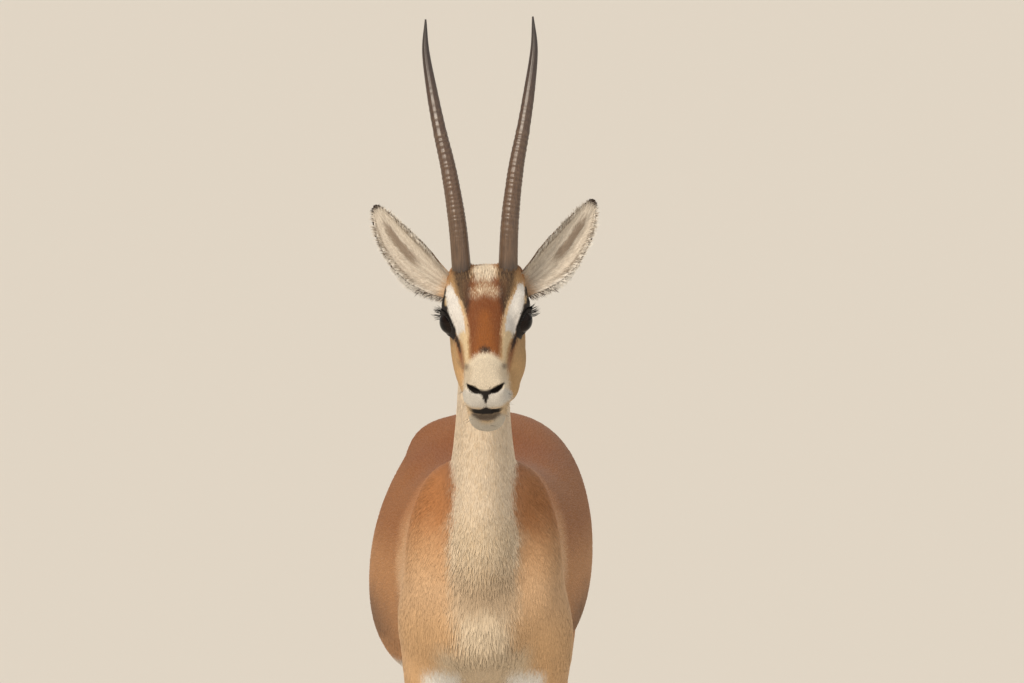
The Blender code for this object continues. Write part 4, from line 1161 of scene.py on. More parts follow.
def bare_skin(skin: Skin, points: np.ndarray) -> np.ndarray:
    """Where the skin is bare and dark: in nostrils and mouth and on the lids' edges.

    Args:
        skin: The skin, for its sizes.
        points: Places in the row frame.

    Returns:
        From 0 on coat to 1 on bare skin.
    """
    charts = skin.markings.charts(points)
    marked = [laid(mark, charts) for mark in FACE_MARKS if mark.bare]
    local = skin.head.local(points)
    level = skin.mouth_level + skin.mouth_rise * local[:, 0] ** 2
    level += skin.mouth_corner_rise * np.interp(
        local[:, 1], (skin.mouth_corner, skin.mouth_front), (1.0, 0.0))
    narrow = 1.0 - 0.5 * np.clip(local[:, 0] / skin.mouth_half_width, -1.0, 1.0) ** 2
    gap = np.abs(local[:, 2] - level) - skin.mouth_half_height * narrow
    lips = ramp(0.0019, 0.0009, gap) * ramp(0.026, 0.015, np.abs(local[:, 0]))
    lips *= ramp(skin.mouth_corner - 0.003, skin.mouth_corner + 0.006, local[:, 1])
    local[:, 0] = np.abs(local[:, 0])
    eye = np.linalg.norm(local - np.array(skin.eye_place), axis=1)
    lids = ramp(skin.eye_radius + 0.0032, skin.eye_radius + 0.0018, eye)
    on_head = ramp(0.0, 0.010, Markings.head_side(points)) * ramp(0.82, 0.84, points[:, 2])
    return np.maximum(np.maximum.reduce([*marked, lips, lids]) * on_head,
                      skin.markings.on_dewclaw(points))


@dataclass(frozen=True)
class CoatZone:
    """One stretch of coat: how thick it grows there and what its tufts are like, in mm."""

    name: str
    slot: Slot
    finish: CoatFinish
    per_cm2: float
    length: float
    width: float
    lift: float
    holds: Callable[[np.ndarray, np.ndarray], np.ndarray]
    axis: tuple[tuple[float, float, float], tuple[float, float, float]]
    seed: int


def horn_gap(head: HeadFrame, points: np.ndarray) -> tuple[np.ndarray, np.ndarray]:
    """How far places lie from the foot of the nearer horn.

    Args:
        head: The head's frame.
        points: Places in the row frame.

    Returns:
        The distances from its axis, and the way that the axis points, one a row.
    """
    gaps, axes = [], []
    for side in SIDES.values():
        low = np.array(head.upright((0.0300, 0.012, 0.052), side))
        axis = unit(np.array(head.upright((0.0310, 0.012, 0.080), side)) - low)
        away = points - low
        height = away @ axis
        gap = np.linalg.norm(away - np.outer(height, axis), axis=1)
        gaps.append(np.where(np.abs(height) < 0.030, gap, 1.0))
        axes.append(axis)
    nearer = np.argmin(gaps, axis=0)
    return np.min(gaps, axis=0), np.array(axes)[nearer]


def lie_of_coat(head: HeadFrame, points: np.ndarray, normals: np.ndarray) -> np.ndarray:
    """The way that hair lies, along the skin.

    Args:
        head: The head's frame.
        points: Places in the row frame.
        normals: The way that the skin faces there.

    Returns:
        Directions of length 1, one a row.
    """
    _, y, z = (points - TRUNK_SHIFT).T
    flow = np.tile((0.0, 1.0, -0.25), (len(points), 1))
    lay = brush(flow)
    lay((0.0, 0.75, -0.65), ramp(0.18, 0.32, y))
    lay((0.0, 0.25, -0.95), ramp(-0.20, -0.29, y))
    lay((0.0, 0.40, -0.90), ramp(0.62, 0.54, z) * ramp(-0.16, -0.20, y))
    lay((0.0, 0.20, -0.98), ramp(0.60, 0.50, z))
    belly = ramp(-0.5, -0.9, normals[:, 2]) * ramp(-0.20, -0.12, y) * ramp(0.25, 0.18, y)
    lay((0.0, 1.0, 0.0), belly)
    lay((0.0, 0.30, -0.95), ramp(0.02, 0.06, Markings.neck_side(points)))
    local = head.local(points)
    lay(-head.axes[1] + 0.25 * head.axes[2],
        ramp(-0.010, 0.030, Markings.head_side(points)) * ramp(0.84, 0.90, z))
    nape = ramp(-0.055, -0.085, local[:, 1]) * ramp(0.86, 0.92, z)
    lay((0.0, 0.45, -0.89), nape)
    flow -= normals * np.sum(flow * normals, axis=1, keepdims=True)
    gap, axis = horn_gap(head, points)
    flow = unit(flow)
    return unit(flow + (axis - flow) * (ramp(0.0190, 0.0150, gap) * 0.75)[:, None])


@dataclass
class TuftBatch:
    """Tufts as arrays: a flat tapered lock each, of ten triangles, rooted in the skin."""

    roots: np.ndarray
    normals: np.ndarray
    flow: np.ndarray
    length: np.ndarray
    width: np.ndarray
    lift: np.ndarray
    colours: np.ndarray
    chart: np.ndarray
    seed: int
    curl: float = 0.18
    thickness: float = 0.22
    sink: float = 0.12
    root_shade: float = 0.90
    tip_shade: float = 1.05
    round_off: float = 0.35
    root_width: float = 0.62
    belly: float = 0.48
    half_patch: float = 0.0014

    def mesh(self, name: str) -> bpy.types.Mesh:
        """Join all tufts to one mesh with its attributes and its map.

        Args:
            name: The mesh's name.

        Returns:
            The mesh.
        """
        chance = np.random.default_rng(self.seed)
        count = len(self.roots)
        swing = chance.normal(0.0, 0.13, count)[:, None]
        sideways = np.cross(self.normals, self.flow)
        flow = unit(self.flow + sideways * swing)
        sideways = unit(np.cross(self.normals, flow))
        bow = chance.normal(0.0, self.curl, count)[:, None]
        points = np.empty((count, 7, 3))
        for ring, (along, wide) in enumerate(((0.0, self.root_width), (self.belly, 1.0))):
            middle = self.roots + flow * (self.length * along)[:, None]
            rise = self.lift * along - self.sink * self.width * (1.0 - along)
            middle = middle + self.normals * rise[:, None]
            middle = middle + sideways * bow * (self.width * along)[:, None]
            half = sideways * (self.width * 0.5 * wide)[:, None]
            points[:, ring * 3] = middle - half
            crown = (self.width * self.thickness * wide)[:, None]
            points[:, ring * 3 + 1] = middle + self.normals * crown
            points[:, ring * 3 + 2] = middle + half
        tip_rise = self.lift * 0.72 + self.width * 0.05
        points[:, 6] = (self.roots + flow * self.length[:, None] + self.normals * tip_rise[:, None]
                        + sideways * bow * (self.width * 2.2)[:, None])
        quads = np.array(((3, 4, 1, 0), (4, 5, 2, 1), (5, 3, 0, 2)))
        cones = np.array(((6, 4, 3), (6, 5, 4), (6, 3, 5), (1, 2, 0)))
        loops = np.concatenate((quads.ravel(), cones.ravel()))
        corners = (np.arange(count)[:, None] * 7 + loops).ravel()
        sizes = np.tile(np.array((4, 4, 4, 3, 3, 3, 3)), count)
        mesh = bpy.data.meshes.new(name)
        mesh.vertices.add(count * 7)
        mesh.loops.add(len(corners))
        mesh.polygons.add(len(sizes))
        mesh.vertices.foreach_set("co", points.astype(np.float32).ravel())
        mesh.loops.foreach_set("vertex_index", corners.astype(np.int32))
        starts = np.concatenate(((0,), np.cumsum(sizes)[:-1]))
        mesh.polygons.foreach_set("loop_start", starts.astype(np.int32))
        mesh.polygons.foreach_set("loop_total", sizes.astype(np.int32))
        mesh.update(calc_edges=True)
        along = np.array((0.0, 0.0, 0.0, self.belly, self.belly, self.belly, 1.0))
        across = np.array((-1.0, 0.0, 1.0, -1.0, 0.0, 1.0, 0.0))
        turned = sideways[:, None] * (self.round_off * across)[None, :, None]
        rounded = self.normals[:, None] + turned
        mesh.normals_split_custom_set_from_vertices(unit(rounded).reshape(-1, 3))
        shade = self.root_shade + (self.tip_shade - self.root_shade) * along
        tone = 1.0 + chance.normal(0.0, 0.055, count)
        colours = self.colours[:, None, :] * shade[None, :, None] * tone[:, None, None]
        write_colours(mesh, COAT_ATTRIBUTE, colours.reshape(-1, 3))
        strand = np.empty((count, 7, 3))
        strand[:, :, 0] = across * 2.2 + chance.random(count)[:, None] * 90.0
        strand[:, :, 1] = along * 1.4
        strand[:, :, 2] = chance.random(count)[:, None] * 90.0
        layer = mesh.attributes.new(STRAND_ATTRIBUTE, "FLOAT_VECTOR", "POINT")
        layer.data.foreach_set("vector", strand.astype(np.float32).ravel())
        offset = self.half_patch * np.stack((across, 2.0 * along - 1.0), 1)[None]
        flat = (self.chart[:, None, :] + offset).reshape(-1, 2)[corners]
        layer = mesh.uv_layers.new(name=BAKE_MAP)
        layer.uv.foreach_set("vector", flat.astype(np.float32).ravel())
        return mesh


def hang_coat(name: str, mesh: bpy.types.Mesh, material: bpy.types.Material, slot: Slot,
              *stands_for: str) -> bpy.types.Object:
    """Put a coat piece in the scene."""
    item = new_object(name, mesh)
    mesh.materials.append(material)
    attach(item, "root")
    if stands_for:
        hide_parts(*stands_for)
    LOG.info("%s: %d triangles", name, len(mesh.loops) - 2 * len(mesh.polygons))
    return item


@dataclass
class Coat:
    """The short coat of the whole body, zone by zone, as tufts rooted in the skin.

    Where two zones meet, the one that is named first has the skin.
    """

    skin: Skin
    surface: bpy.types.Object
    materials: dict[str, bpy.types.Material]
    thin: float = 1.0
    most: int = 19800
    hoof_line: float = 0.036
    horn_foot: float = 0.0118
    blur: float = 0.0011

    def zones(self) -> list[CoatZone]:
        """The stretches of coat, head first."""
        head_side, neck_side = Markings.head_side, Markings.neck_side
        head = self.skin.head
        nose, poll = head.world((0.0, 0.16, -0.02)), head.world((0.0, -0.12, -0.02))
        neck_axis = tuple(TRUNK_SHIFT + (0, -0.27, 0.66)), tuple(TRUNK_SHIFT + (0, -0.39, 1.02))
        trunk_axis = tuple(TRUNK_SHIFT + (0, -0.40, 0.64)), tuple(TRUNK_SHIFT + (0, 0.43, 0.66))
        made = []
        for name, side in SIDES.items():
            near = lambda p, side=side: (p[:, 0] - TRUNK_SHIFT[0]) * side > 0.0
            made.append(CoatZone(
                f"coat_face_{name}", Slot.FACE, FACE_COAT, 34.0, 4.8, 0.76, 0.40,
                lambda p, n, near=near: (head_side(p) > 0.0) & (p[:, 2] > 0.82) & near(p),
                (tuple(poll), tuple(nose)), 21))
        made.append(CoatZone("coat_neck", Slot.PALE, BODY_COAT, 13.0, 9.5, 1.35, 0.75,
                             lambda p, n: neck_side(p) > 0.0, neck_axis, 31))
        for name in LEGS:
            low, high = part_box(name)
            middle = (low + high) / 2.0
            side = SIDES[name.split("_")[1]]
            fore = name.startswith("fore")
            top = 0.50 if fore else 0.52
            made.append(CoatZone(
                f"coat_{name}", Slot.FAWN, BODY_COAT, 9.0, 8.5, 1.45, 0.45,
                lambda p, n, side=side, fore=fore, top=top: (
                    (p[:, 2] < top) & ((p[:, 0] - TRUNK_SHIFT[0]) * side > -0.004)
                    & ((p[:, 1] < 0.12) if fore else (p[:, 1] > 0.12))),
                ((middle.x, middle.y, 0.0), (middle.x, middle.y, 0.55)), 41 + len(made)))
        cuts = (-0.50, -0.17, 0.09, 0.60)
        for name, side in SIDES.items():
            for place, (front, back) in zip(("shoulder", "flank", "haunch"), zip(cuts, cuts[1:])):
                made.append(CoatZone(
                    f"coat_{place}_{name}", Slot.FAWN, BODY_COAT, 8.0, 11.0, 1.5, 0.50,
                    lambda p, n, side=side, front=front, back=back: (
                        ((p[:, 0] - TRUNK_SHIFT[0]) * side > 0.0)
                        & (p[:, 1] - TRUNK_SHIFT[1] > front) & (p[:, 1] - TRUNK_SHIFT[1] <= back)),
                    trunk_axis, 51 + len(made)))
        return made

    @staticmethod
    def chart(zone: CoatZone, points: np.ndarray) -> np.ndarray:
        """Unwrap the skin round a zone's own axis.

        Args:
            zone: The stretch of coat.
            points: Places on its skin.

        Returns:
            Map places from 0 to 1, one a row.
        """
        start, end = np.array(zone.axis[0]), np.array(zone.axis[1])
        axis = unit(end - start)
        side = unit(np.cross(axis, (0.31, 0.42, -0.85)))
        over = np.cross(side, axis)
        away = points - start
        turn = np.arctan2(away @ side, away @ over) / (2.0 * math.pi) + 0.5
        flat = np.stack((turn, away @ axis), 1)
        low, high = flat.min(0), flat.max(0)
        return 0.01 + 0.98 * (flat - low) / np.maximum(high - low, 1e-6)

    def build(self) -> None:
        """Grow every zone's tufts on the skin, each zone a piece of its own."""
        mesh = self.surface.data
        points, normals = read_points(mesh), read_normals(mesh)
        mesh.calc_loop_triangles()
        corners = np.empty(len(mesh.loop_triangles) * 3, np.int32)
        mesh.loop_triangles.foreach_get("vertices", corners)
        corners = corners.reshape(-1, 3)
        corners = corners[corners.max(1) < self.skin.bare_count]
        a, b, c = (points[corners[:, k]] for k in range(3))
        areas = np.linalg.norm(np.cross(b - a, c - a), axis=1) / 2.0
        centres = (a + b + c) / 3.0
        facing = unit(normals[corners].sum(1))
        free = np.ones(len(corners), bool)
        for zone in self.zones():
            chosen = np.flatnonzero(free & zone.holds(centres, facing))
            free[chosen] = False
            self.grow(zone, points, normals, corners[chosen], areas[chosen])

    def grow(self, zone: CoatZone, points: np.ndarray, normals: np.ndarray, corners: np.ndarray,
             areas: np.ndarray) -> None:
        """Grow one zone.

        Args:
            zone: The stretch of coat.
            points: The skin's points.
            normals: The skin's normals.
            corners: The three points of each of the zone's triangles.
            areas: Their areas.
        """
        chance = np.random.default_rng(zone.seed)
        total = float(areas.sum())
        count = min(int(total * 1e4 * zone.per_cm2 * self.thin), self.most)
        edges = np.cumsum(areas)
        even = (np.arange(count) + chance.random(count)) / count
        picks = np.searchsorted(edges, even * edges[-1])
        picks = np.minimum(picks, len(corners) - 1)
        one, two = chance.random(count), chance.random(count)
        fold = one + two > 1.0
        one[fold], two[fold] = 1.0 - one[fold], 1.0 - two[fold]
        shares = np.stack((1.0 - one - two, one, two), 1)[:, :, None]
        roots = (points[corners[picks]] * shares).sum(1)
        facing = unit((normals[corners[picks]] * shares).sum(1))
        keep = bare_skin(self.skin, roots) < 0.3
        keep &= (roots[:, 2] > self.hoof_line) & ~self.under_horn(roots)
        roots, facing = roots[keep], facing[keep]
        size = len(roots)
        draws = chance.random(size)
        wander = 2.2 if zone.length > 6 else 1.0
        blurred = roots + chance.normal(0.0, self.blur, (size, 3)) * wander
        colours = self.skin.markings.colour(blurred, facing, draws)
        length, width, lift = self.sizes(zone, roots, facing, chance)
        batch = TuftBatch(roots, facing, lie_of_coat(self.skin.head, roots, facing), length, width,
                          lift, colours, self.chart(zone, roots), zone.seed + 100)
        hang_coat(zone.name, batch.mesh(zone.name), self.materials[zone.finish.name], zone.slot)

    def under_horn(self, points: np.ndarray) -> np.ndarray:
        """Which places lie inside the foot of a horn."""
        head = self.skin.head
        return (horn_gap(head, points)[0] < self.horn_foot) & (head.local(points)[:, 2] > 0.02)

    def sizes(self, zone: CoatZone, roots: np.ndarray, facing: np.ndarray,
              chance: np.random.Generator) -> tuple[np.ndarray, np.ndarray, np.ndarray]:
        """Each tuft's length, width and lift, in metres.

        Args:
            zone: The stretch of coat.
            roots: Where the tufts grow.
            facing: The way that the skin faces there.
            chance: The zone's random draws.

        Returns:
            Lengths, widths and lifts.
        """
        x, y, z = (roots - TRUNK_SHIFT).T
        local = self.skin.head.local(roots)
        scale = np.ones(len(roots))
        raise_by = np.ones(len(roots))
        if zone.name.startswith("coat_face"):
            scale *= 1.0 - 0.45 * ramp(0.06, 0.13, local[:, 1])
            beside = np.stack((np.abs(local[:, 0]), local[:, 1], local[:, 2]), 1)
            near_eye = np.linalg.norm(beside - np.array(self.skin.eye_place), axis=1)
            scale *= 1.0 - 0.35 * ramp(0.032, 0.022, near_eye)
            poll = ramp(0.030, 0.018, np.abs(local[:, 0])) * ramp(-0.015, -0.03, local[:, 1])
            poll *= ramp(0.0, 0.5, (facing @ self.skin.head.axes.T)[:, 2])
            poll *= ramp(0.0150, 0.0210, horn_gap(self.skin.head, roots)[0])
            scale *= 1.0 + 1.3 * poll
            raise_by += 3.0 * poll
        ruff = ramp(0.76, 0.66, z) * ramp(-0.27, -0.33, y) * ramp(0.058, 0.038, np.abs(x))
        ruff *= ramp(0.52, 0.56, z)
        scale *= 1.0 + 0.4 * ruff
        raise_by += 1.2 * ruff
        foot = ramp(0.0200, 0.0150, horn_gap(self.skin.head, roots)[0])
        scale *= 1.0 - 0.1 * foot
        scale *= 1.0 - 0.35 * ramp(0.20, 0.08, z)
        tail = ramp(0.396, 0.410, y) * ramp(0.50, 0.54, z)
        scale *= 1.0 + 0.4 * tail
        length = zone.length * MM * scale * chance.uniform(0.75, 1.2, len(roots))
        width = zone.width * MM * np.sqrt(scale) * chance.uniform(0.7, 1.25, len(roots))
        lift = zone.lift * MM * scale * raise_by * chance.uniform(0.2, 1.3, len(roots))
        return length, width, lift


@dataclass
class EarHair:
    """The hair of the ears: long and white within, short and close outside."""

    ear: Ear
    name: str
    material: bpy.types.Material
    inner: int = 2600
    outer: int = 3000
    fringe: int = 700
    seed: int = 71

    def build(self, thin: float) -> None:
        """Grow both faces' hair as one piece.

        Args:
            thin: The share of the hair that is grown.
        """
        chance = np.random.default_rng(self.seed + (self.name == "right"))
        counts = int(self.inner * thin), int(self.outer * thin)
        size = sum(counts)
        inside = np.repeat((1.0, 0.0), counts)
        along = 1.0 - np.sqrt(1.0 - chance.random(size) * 0.985)
        along = np.where(chance.random(size) < 0.5, along, chance.random(size) * 0.97)
        across = chance.uniform(-0.99, 0.99, size)
        middle = self.ear.place(across, along)
        facing = self.ear.normal(across, along) * np.where(inside > 0.5, 1.0, -1.0)[:, None]
        roots = middle + facing * self.ear.thickness * 0.42
        step = 0.02
        to_tip = unit(self.ear.place(across, np.clip(along + step, 0, 1))
                      - self.ear.place(across, np.clip(along - step, 0, 1)))
        to_rim = unit(self.ear.place(across + step, along) - self.ear.place(across - step, along))
        lean = np.where(inside > 0.5, np.clip(across * 1.4, -0.9, 0.9), across * 0.25)[:, None]
        flow = to_tip * (1.0 - 0.5 * np.abs(lean)) + to_rim * lean
        flow = unit(flow - facing * np.sum(flow * facing, axis=1, keepdims=True))
        end = ramp(1.0, 0.82, along)
        length = np.where(inside > 0.5, 8.5, 6.0) * MM * (0.4 + 0.6 * end)
        length *= chance.uniform(0.7, 1.25, size) * (1.0 - 0.35 * ramp(0.7, 1.0, np.abs(across)))
        width = np.where(inside > 0.5, 0.70, 1.0) * MM * chance.uniform(0.7, 1.2, size)
        lift = np.where(inside > 0.5, 1.5, 0.35) * MM * chance.uniform(0.2, 1.3, size)
        colours = self.ear.colour(across, along, inside, chance.random(size))
        chart = np.stack((0.25 + 0.23 * across + 0.5 * (1.0 - inside), 0.01 + 0.98 * along), 1)
        batch = TuftBatch(roots, facing, flow, length, width, lift, colours, chart,
                          self.seed + 10, curl=0.5)
        hang_coat(f"ear_hair_{self.name}", batch.mesh("ear_hair"), self.material, Slot.PALE)
        self.lobe(thin)

    def lobe(self, thin: float) -> None:
        """Grow the loose white hair that hangs from the ear's lower rim, dark behind it.

        Args:
            thin: The share of the hair that is grown.
        """
        chance = np.random.default_rng(self.seed + 31)
        size = int(self.fringe * thin)
        ends = self.ear.place(np.array((-1.0, 1.0)), np.array((0.3, 0.3)))
        low = -1.0 if ends[0, 2] < ends[1, 2] else 1.0
        behind = chance.random(size) < 0.10
        along = np.where(behind, chance.uniform(0.02, 0.20, size), chance.uniform(0.03, 0.46, size))
        across = low * np.where(behind, 0.97, chance.uniform(0.72, 0.98, size))
        roots = self.ear.place(across, along)
        roots = roots + self.ear.normal(across, along) * self.ear.thickness * 0.3
        facing = np.tile((0.0, -0.8, 0.6), (size, 1))
        step = 0.02
        out = unit(self.ear.place(across + step * low, along) - self.ear.place(across, along))
        tip = unit(self.ear.place(across, along + step) - self.ear.place(across, along))
        flow = out + tip * chance.uniform(0.1, 0.9, size)[:, None] + np.array((0.0, 0.05, -0.5))
        flow = unit(flow + chance.normal(0.0, 0.16, (size, 3)))
        fade = ramp(0.50, 0.20, along)
        length = (0.006 + 0.009 * fade) * chance.uniform(0.6, 1.15, size)
        colours = np.tile(linear("#f3ece1"), (size, 1))
        colours[behind] = linear("#4a3628")
        facing = unit(facing - flow * np.sum(facing * flow, axis=1, keepdims=True))
        chart = np.stack((0.25 + 0.23 * across, 0.01 + 0.98 * along), 1)
        batch = TuftBatch(roots, facing, flow, length,
                          chance.uniform(0.0005, 0.0009, size), length * 0.10, colours, chart,
                          self.seed + 32, curl=0.9)
        hang_coat(f"ear_fringe_{self.name}", batch.mesh("ear_fringe"), self.material, Slot.PALE)


@dataclass
class Horn:
    """One ringed horn: close ridges on its lower two thirds, a smooth polished tip."""

    head: HeadFrame
    name: str
    side: float
    base_radius: float = 0.0124
    depth_ratio: float = 1.15
    stations: tuple = (
        (0.0300, 0.012, 0.046, 1.03), (0.0305, 0.012, 0.072, 1.00), (0.0345, 0.014, 0.130, 0.92),
        (0.0436, 0.026, 0.195, 0.80), (0.0545, 0.042, 0.247, 0.68), (0.0637, 0.060, 0.298, 0.57),
        (0.0707, 0.073, 0.349, 0.38), (0.0700, 0.079, 0.391, 0.09),
    )
    segments: int = 44
    rings: int = 300
    ridge_low: float = 0.0062
    ridge_high: float = 0.0118
    relief: float = 0.00095

    def curve(self) -> tuple[np.ndarray, np.ndarray, np.ndarray]:
        """The horn's middle line, evenly spaced.

        Returns:
            Places, thickness ratios and lengths along it.
        """
        rows = np.array([(*self.head.upright(row[:3], self.side), row[3]) for row in self.stations])
        rows = np.vstack((2 * rows[0] - rows[1], rows, 2 * rows[-1] - rows[-2]))
        fine = []
        for before, start, end, after in zip(rows, rows[1:], rows[2:], rows[3:]):
            for t in np.linspace(0.0, 1.0, 24, endpoint=False):
                fine.append(0.5 * (2.0 * start + (end - before) * t
                                   + (2.0 * before - 5.0 * start + 4.0 * end - after) * t ** 2
                                   + (3.0 * start - before - 3.0 * end + after) * t ** 3))
        fine = np.array(fine + [rows[-2]])
        steps = np.linalg.norm(np.diff(fine[:, :3], axis=0), axis=1)
        walked = np.concatenate(((0.0,), np.cumsum(steps)))
        even = np.linspace(0.0, walked[-1], self.rings)
        table = np.stack([np.interp(even, walked, fine[:, k]) for k in range(4)], 1)
        return table[:, :3], table[:, 3], even

    def ridges(self, along: np.ndarray, total: float) -> np.ndarray:
        """How far the rings stand out, from 0 to 1, along the horn."""
        share = along / total
        spacing = self.ridge_low + (self.ridge_high - self.ridge_low) * ramp(0.35, 0.75, share)
        phase = np.concatenate(((0.0,), np.cumsum(np.diff(along) / spacing[1:])))
        wander = 0.16 * np.sin(phase * 1.7) + 0.13 * np.sin(phase * 2.9 + 1.0)
        wander += 0.10 * np.sin(phase * 0.61 + 2.0)
        crest = np.abs(np.cos(np.pi * (phase + wander))) ** 2.4
        strength = ramp(0.12, 0.24, share) * ramp(0.82, 0.58, share)
        return crest * strength * (0.72 + 0.18 * np.sin(phase * 0.9) + 0.10 * np.sin(phase * 2.3))

    def build(self, material: bpy.types.Material) -> bpy.types.Object:
        """Make the horn.

        Args:
            material: Its finish.

        Returns:
            The horn.
        """
        places, ratios, along = self.curve()
        tangents = unit(np.gradient(places, axis=0))
        crest = self.ridges(along, along[-1])
        across = np.array(self.head.axes[0])
        matrices = []
        for place, ratio, tangent in zip(places, ratios, tangents):
            wide = unit(across - tangent * (across @ tangent))
            deep = np.cross(tangent, wide)
            radius = self.base_radius * max(ratio, 0.05)
            turn = Matrix((Vector(wide) * radius, Vector(deep) * radius * self.depth_ratio,
                           Vector(tangent) * radius)).transposed().to_4x4()
            turn.translation = Vector(place)
            matrices.append(turn)
        shape = bmesh.new()
        sweep(shape, matrices, self.segments)
        mesh = to_mesh(f"horn_skin_{self.name}", shape)
        points = read_points(mesh)
        rows = np.arange(len(points)) // self.segments
        rows = np.minimum(rows, self.rings - 1)
        away = points - places[rows]
        angle = np.arctan2(away @ np.array((0.0, -1.0, 0.0)), away @ across)
        front = 0.70 + 0.30 * np.sin(angle)
        slant = np.interp(rows + 3.2 * np.sin(angle), np.arange(self.rings), crest)
        flutes = 0.00016 * np.sin(angle * 11.0 + along[rows] * 20.0) * ramp(0.0, 0.3, ratios[rows])
        points += unit(away) * (self.relief * slant * front + flutes)[:, None]
        write_points(mesh, points)
        closed = from_mesh(mesh)
        bmesh.ops.recalc_face_normals(closed, faces=closed.faces)
        closed.to_mesh(mesh)
        closed.free()
        write_values(mesh, "crest", slant)
        write_values(mesh, "height", along[rows] / along[-1])
        mesh.shade_smooth()
        item = new_object(f"ringed_horn_{self.name}", mesh)
        mesh.materials.append(material)
        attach(item, "root")
        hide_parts(f"horn_{self.name}")
        return item


def horn_material() -> bpy.types.Material:
    """Keratin: dark brown, fibrous, worn paler on the crests of the rings."""
    material, tree, shader = new_material("ringed_keratin")
    crest = add_node(tree, "Attribute", {"attribute_name": "crest"}, {})
    height = add_node(tree, "Attribute", {"attribute_name": "height"}, {})
    place = add_node(tree, "TexCoord", {}, {})
    stretched = add_node(tree, "Mapping", {"Scale": (900.0, 900.0, 60.0)},
                         {"Vector": place.outputs["Object"]})
    fibre = add_node(tree, "TexNoise", {"Scale": 1.0, "Detail": 4.0},
                     {"Vector": stretched.outputs["Vector"]})
    blotch = add_node(tree, "TexNoise", {"Scale": 70.0, "Detail": 3.0},
                      {"Vector": place.outputs["Object"]})
    stops = ((0.0, "#2f241d"), (0.040, "#3a2b22"), (0.095, "#715740"), (0.35, "#6a4c34"),
             (0.72, "#50392a"), (1.0, "#2a211b"))
    base = add_node(tree, "ValToRGB", {"stops": stops}, {"Fac": height.outputs["Fac"]})
    wear = add_node(tree, "Math", {"operation": "MULTIPLY", 1: 0.55}, {0: crest.outputs["Fac"]})
    worn = add_node(tree, "Mix", {"data_type": "RGBA", 7: (*linear("#7d6650"), 1.0)},
                    {0: wear.outputs["Value"], 6: base.outputs["Color"]})
    mixed = add_node(tree, "Mix", {"data_type": "RGBA", "blend_type": "MULTIPLY", 0: 0.75},
                     {6: worn.outputs[2]})
    tones = add_node(tree, "ValToRGB", {"stops": ((0.30, "#8f8378"), (0.68, "#ffffff"))},
                     {"Fac": fibre.outputs["Fac"]})
    tree.links.new(tones.outputs["Color"], mixed.inputs[7])
    rough = add_node(tree, "MapRange", {"To Min": 0.34, "To Max": 0.50},
                     {"Value": blotch.outputs["Fac"]})
    bump = add_node(tree, "Bump", {"Strength": 0.35, "Distance": 0.25 * MM},
                    {"Height": fibre.outputs["Fac"]})
    tree.links.new(mixed.outputs[2], shader.inputs["Base Color"])
    tree.links.new(rough.outputs["Result"], shader.inputs["Roughness"])
    tree.links.new(bump.outputs["Normal"], shader.inputs["Normal"])
    set_inputs(shader, {"IOR": 1.55, "Specular IOR Level": 0.85})
    return material


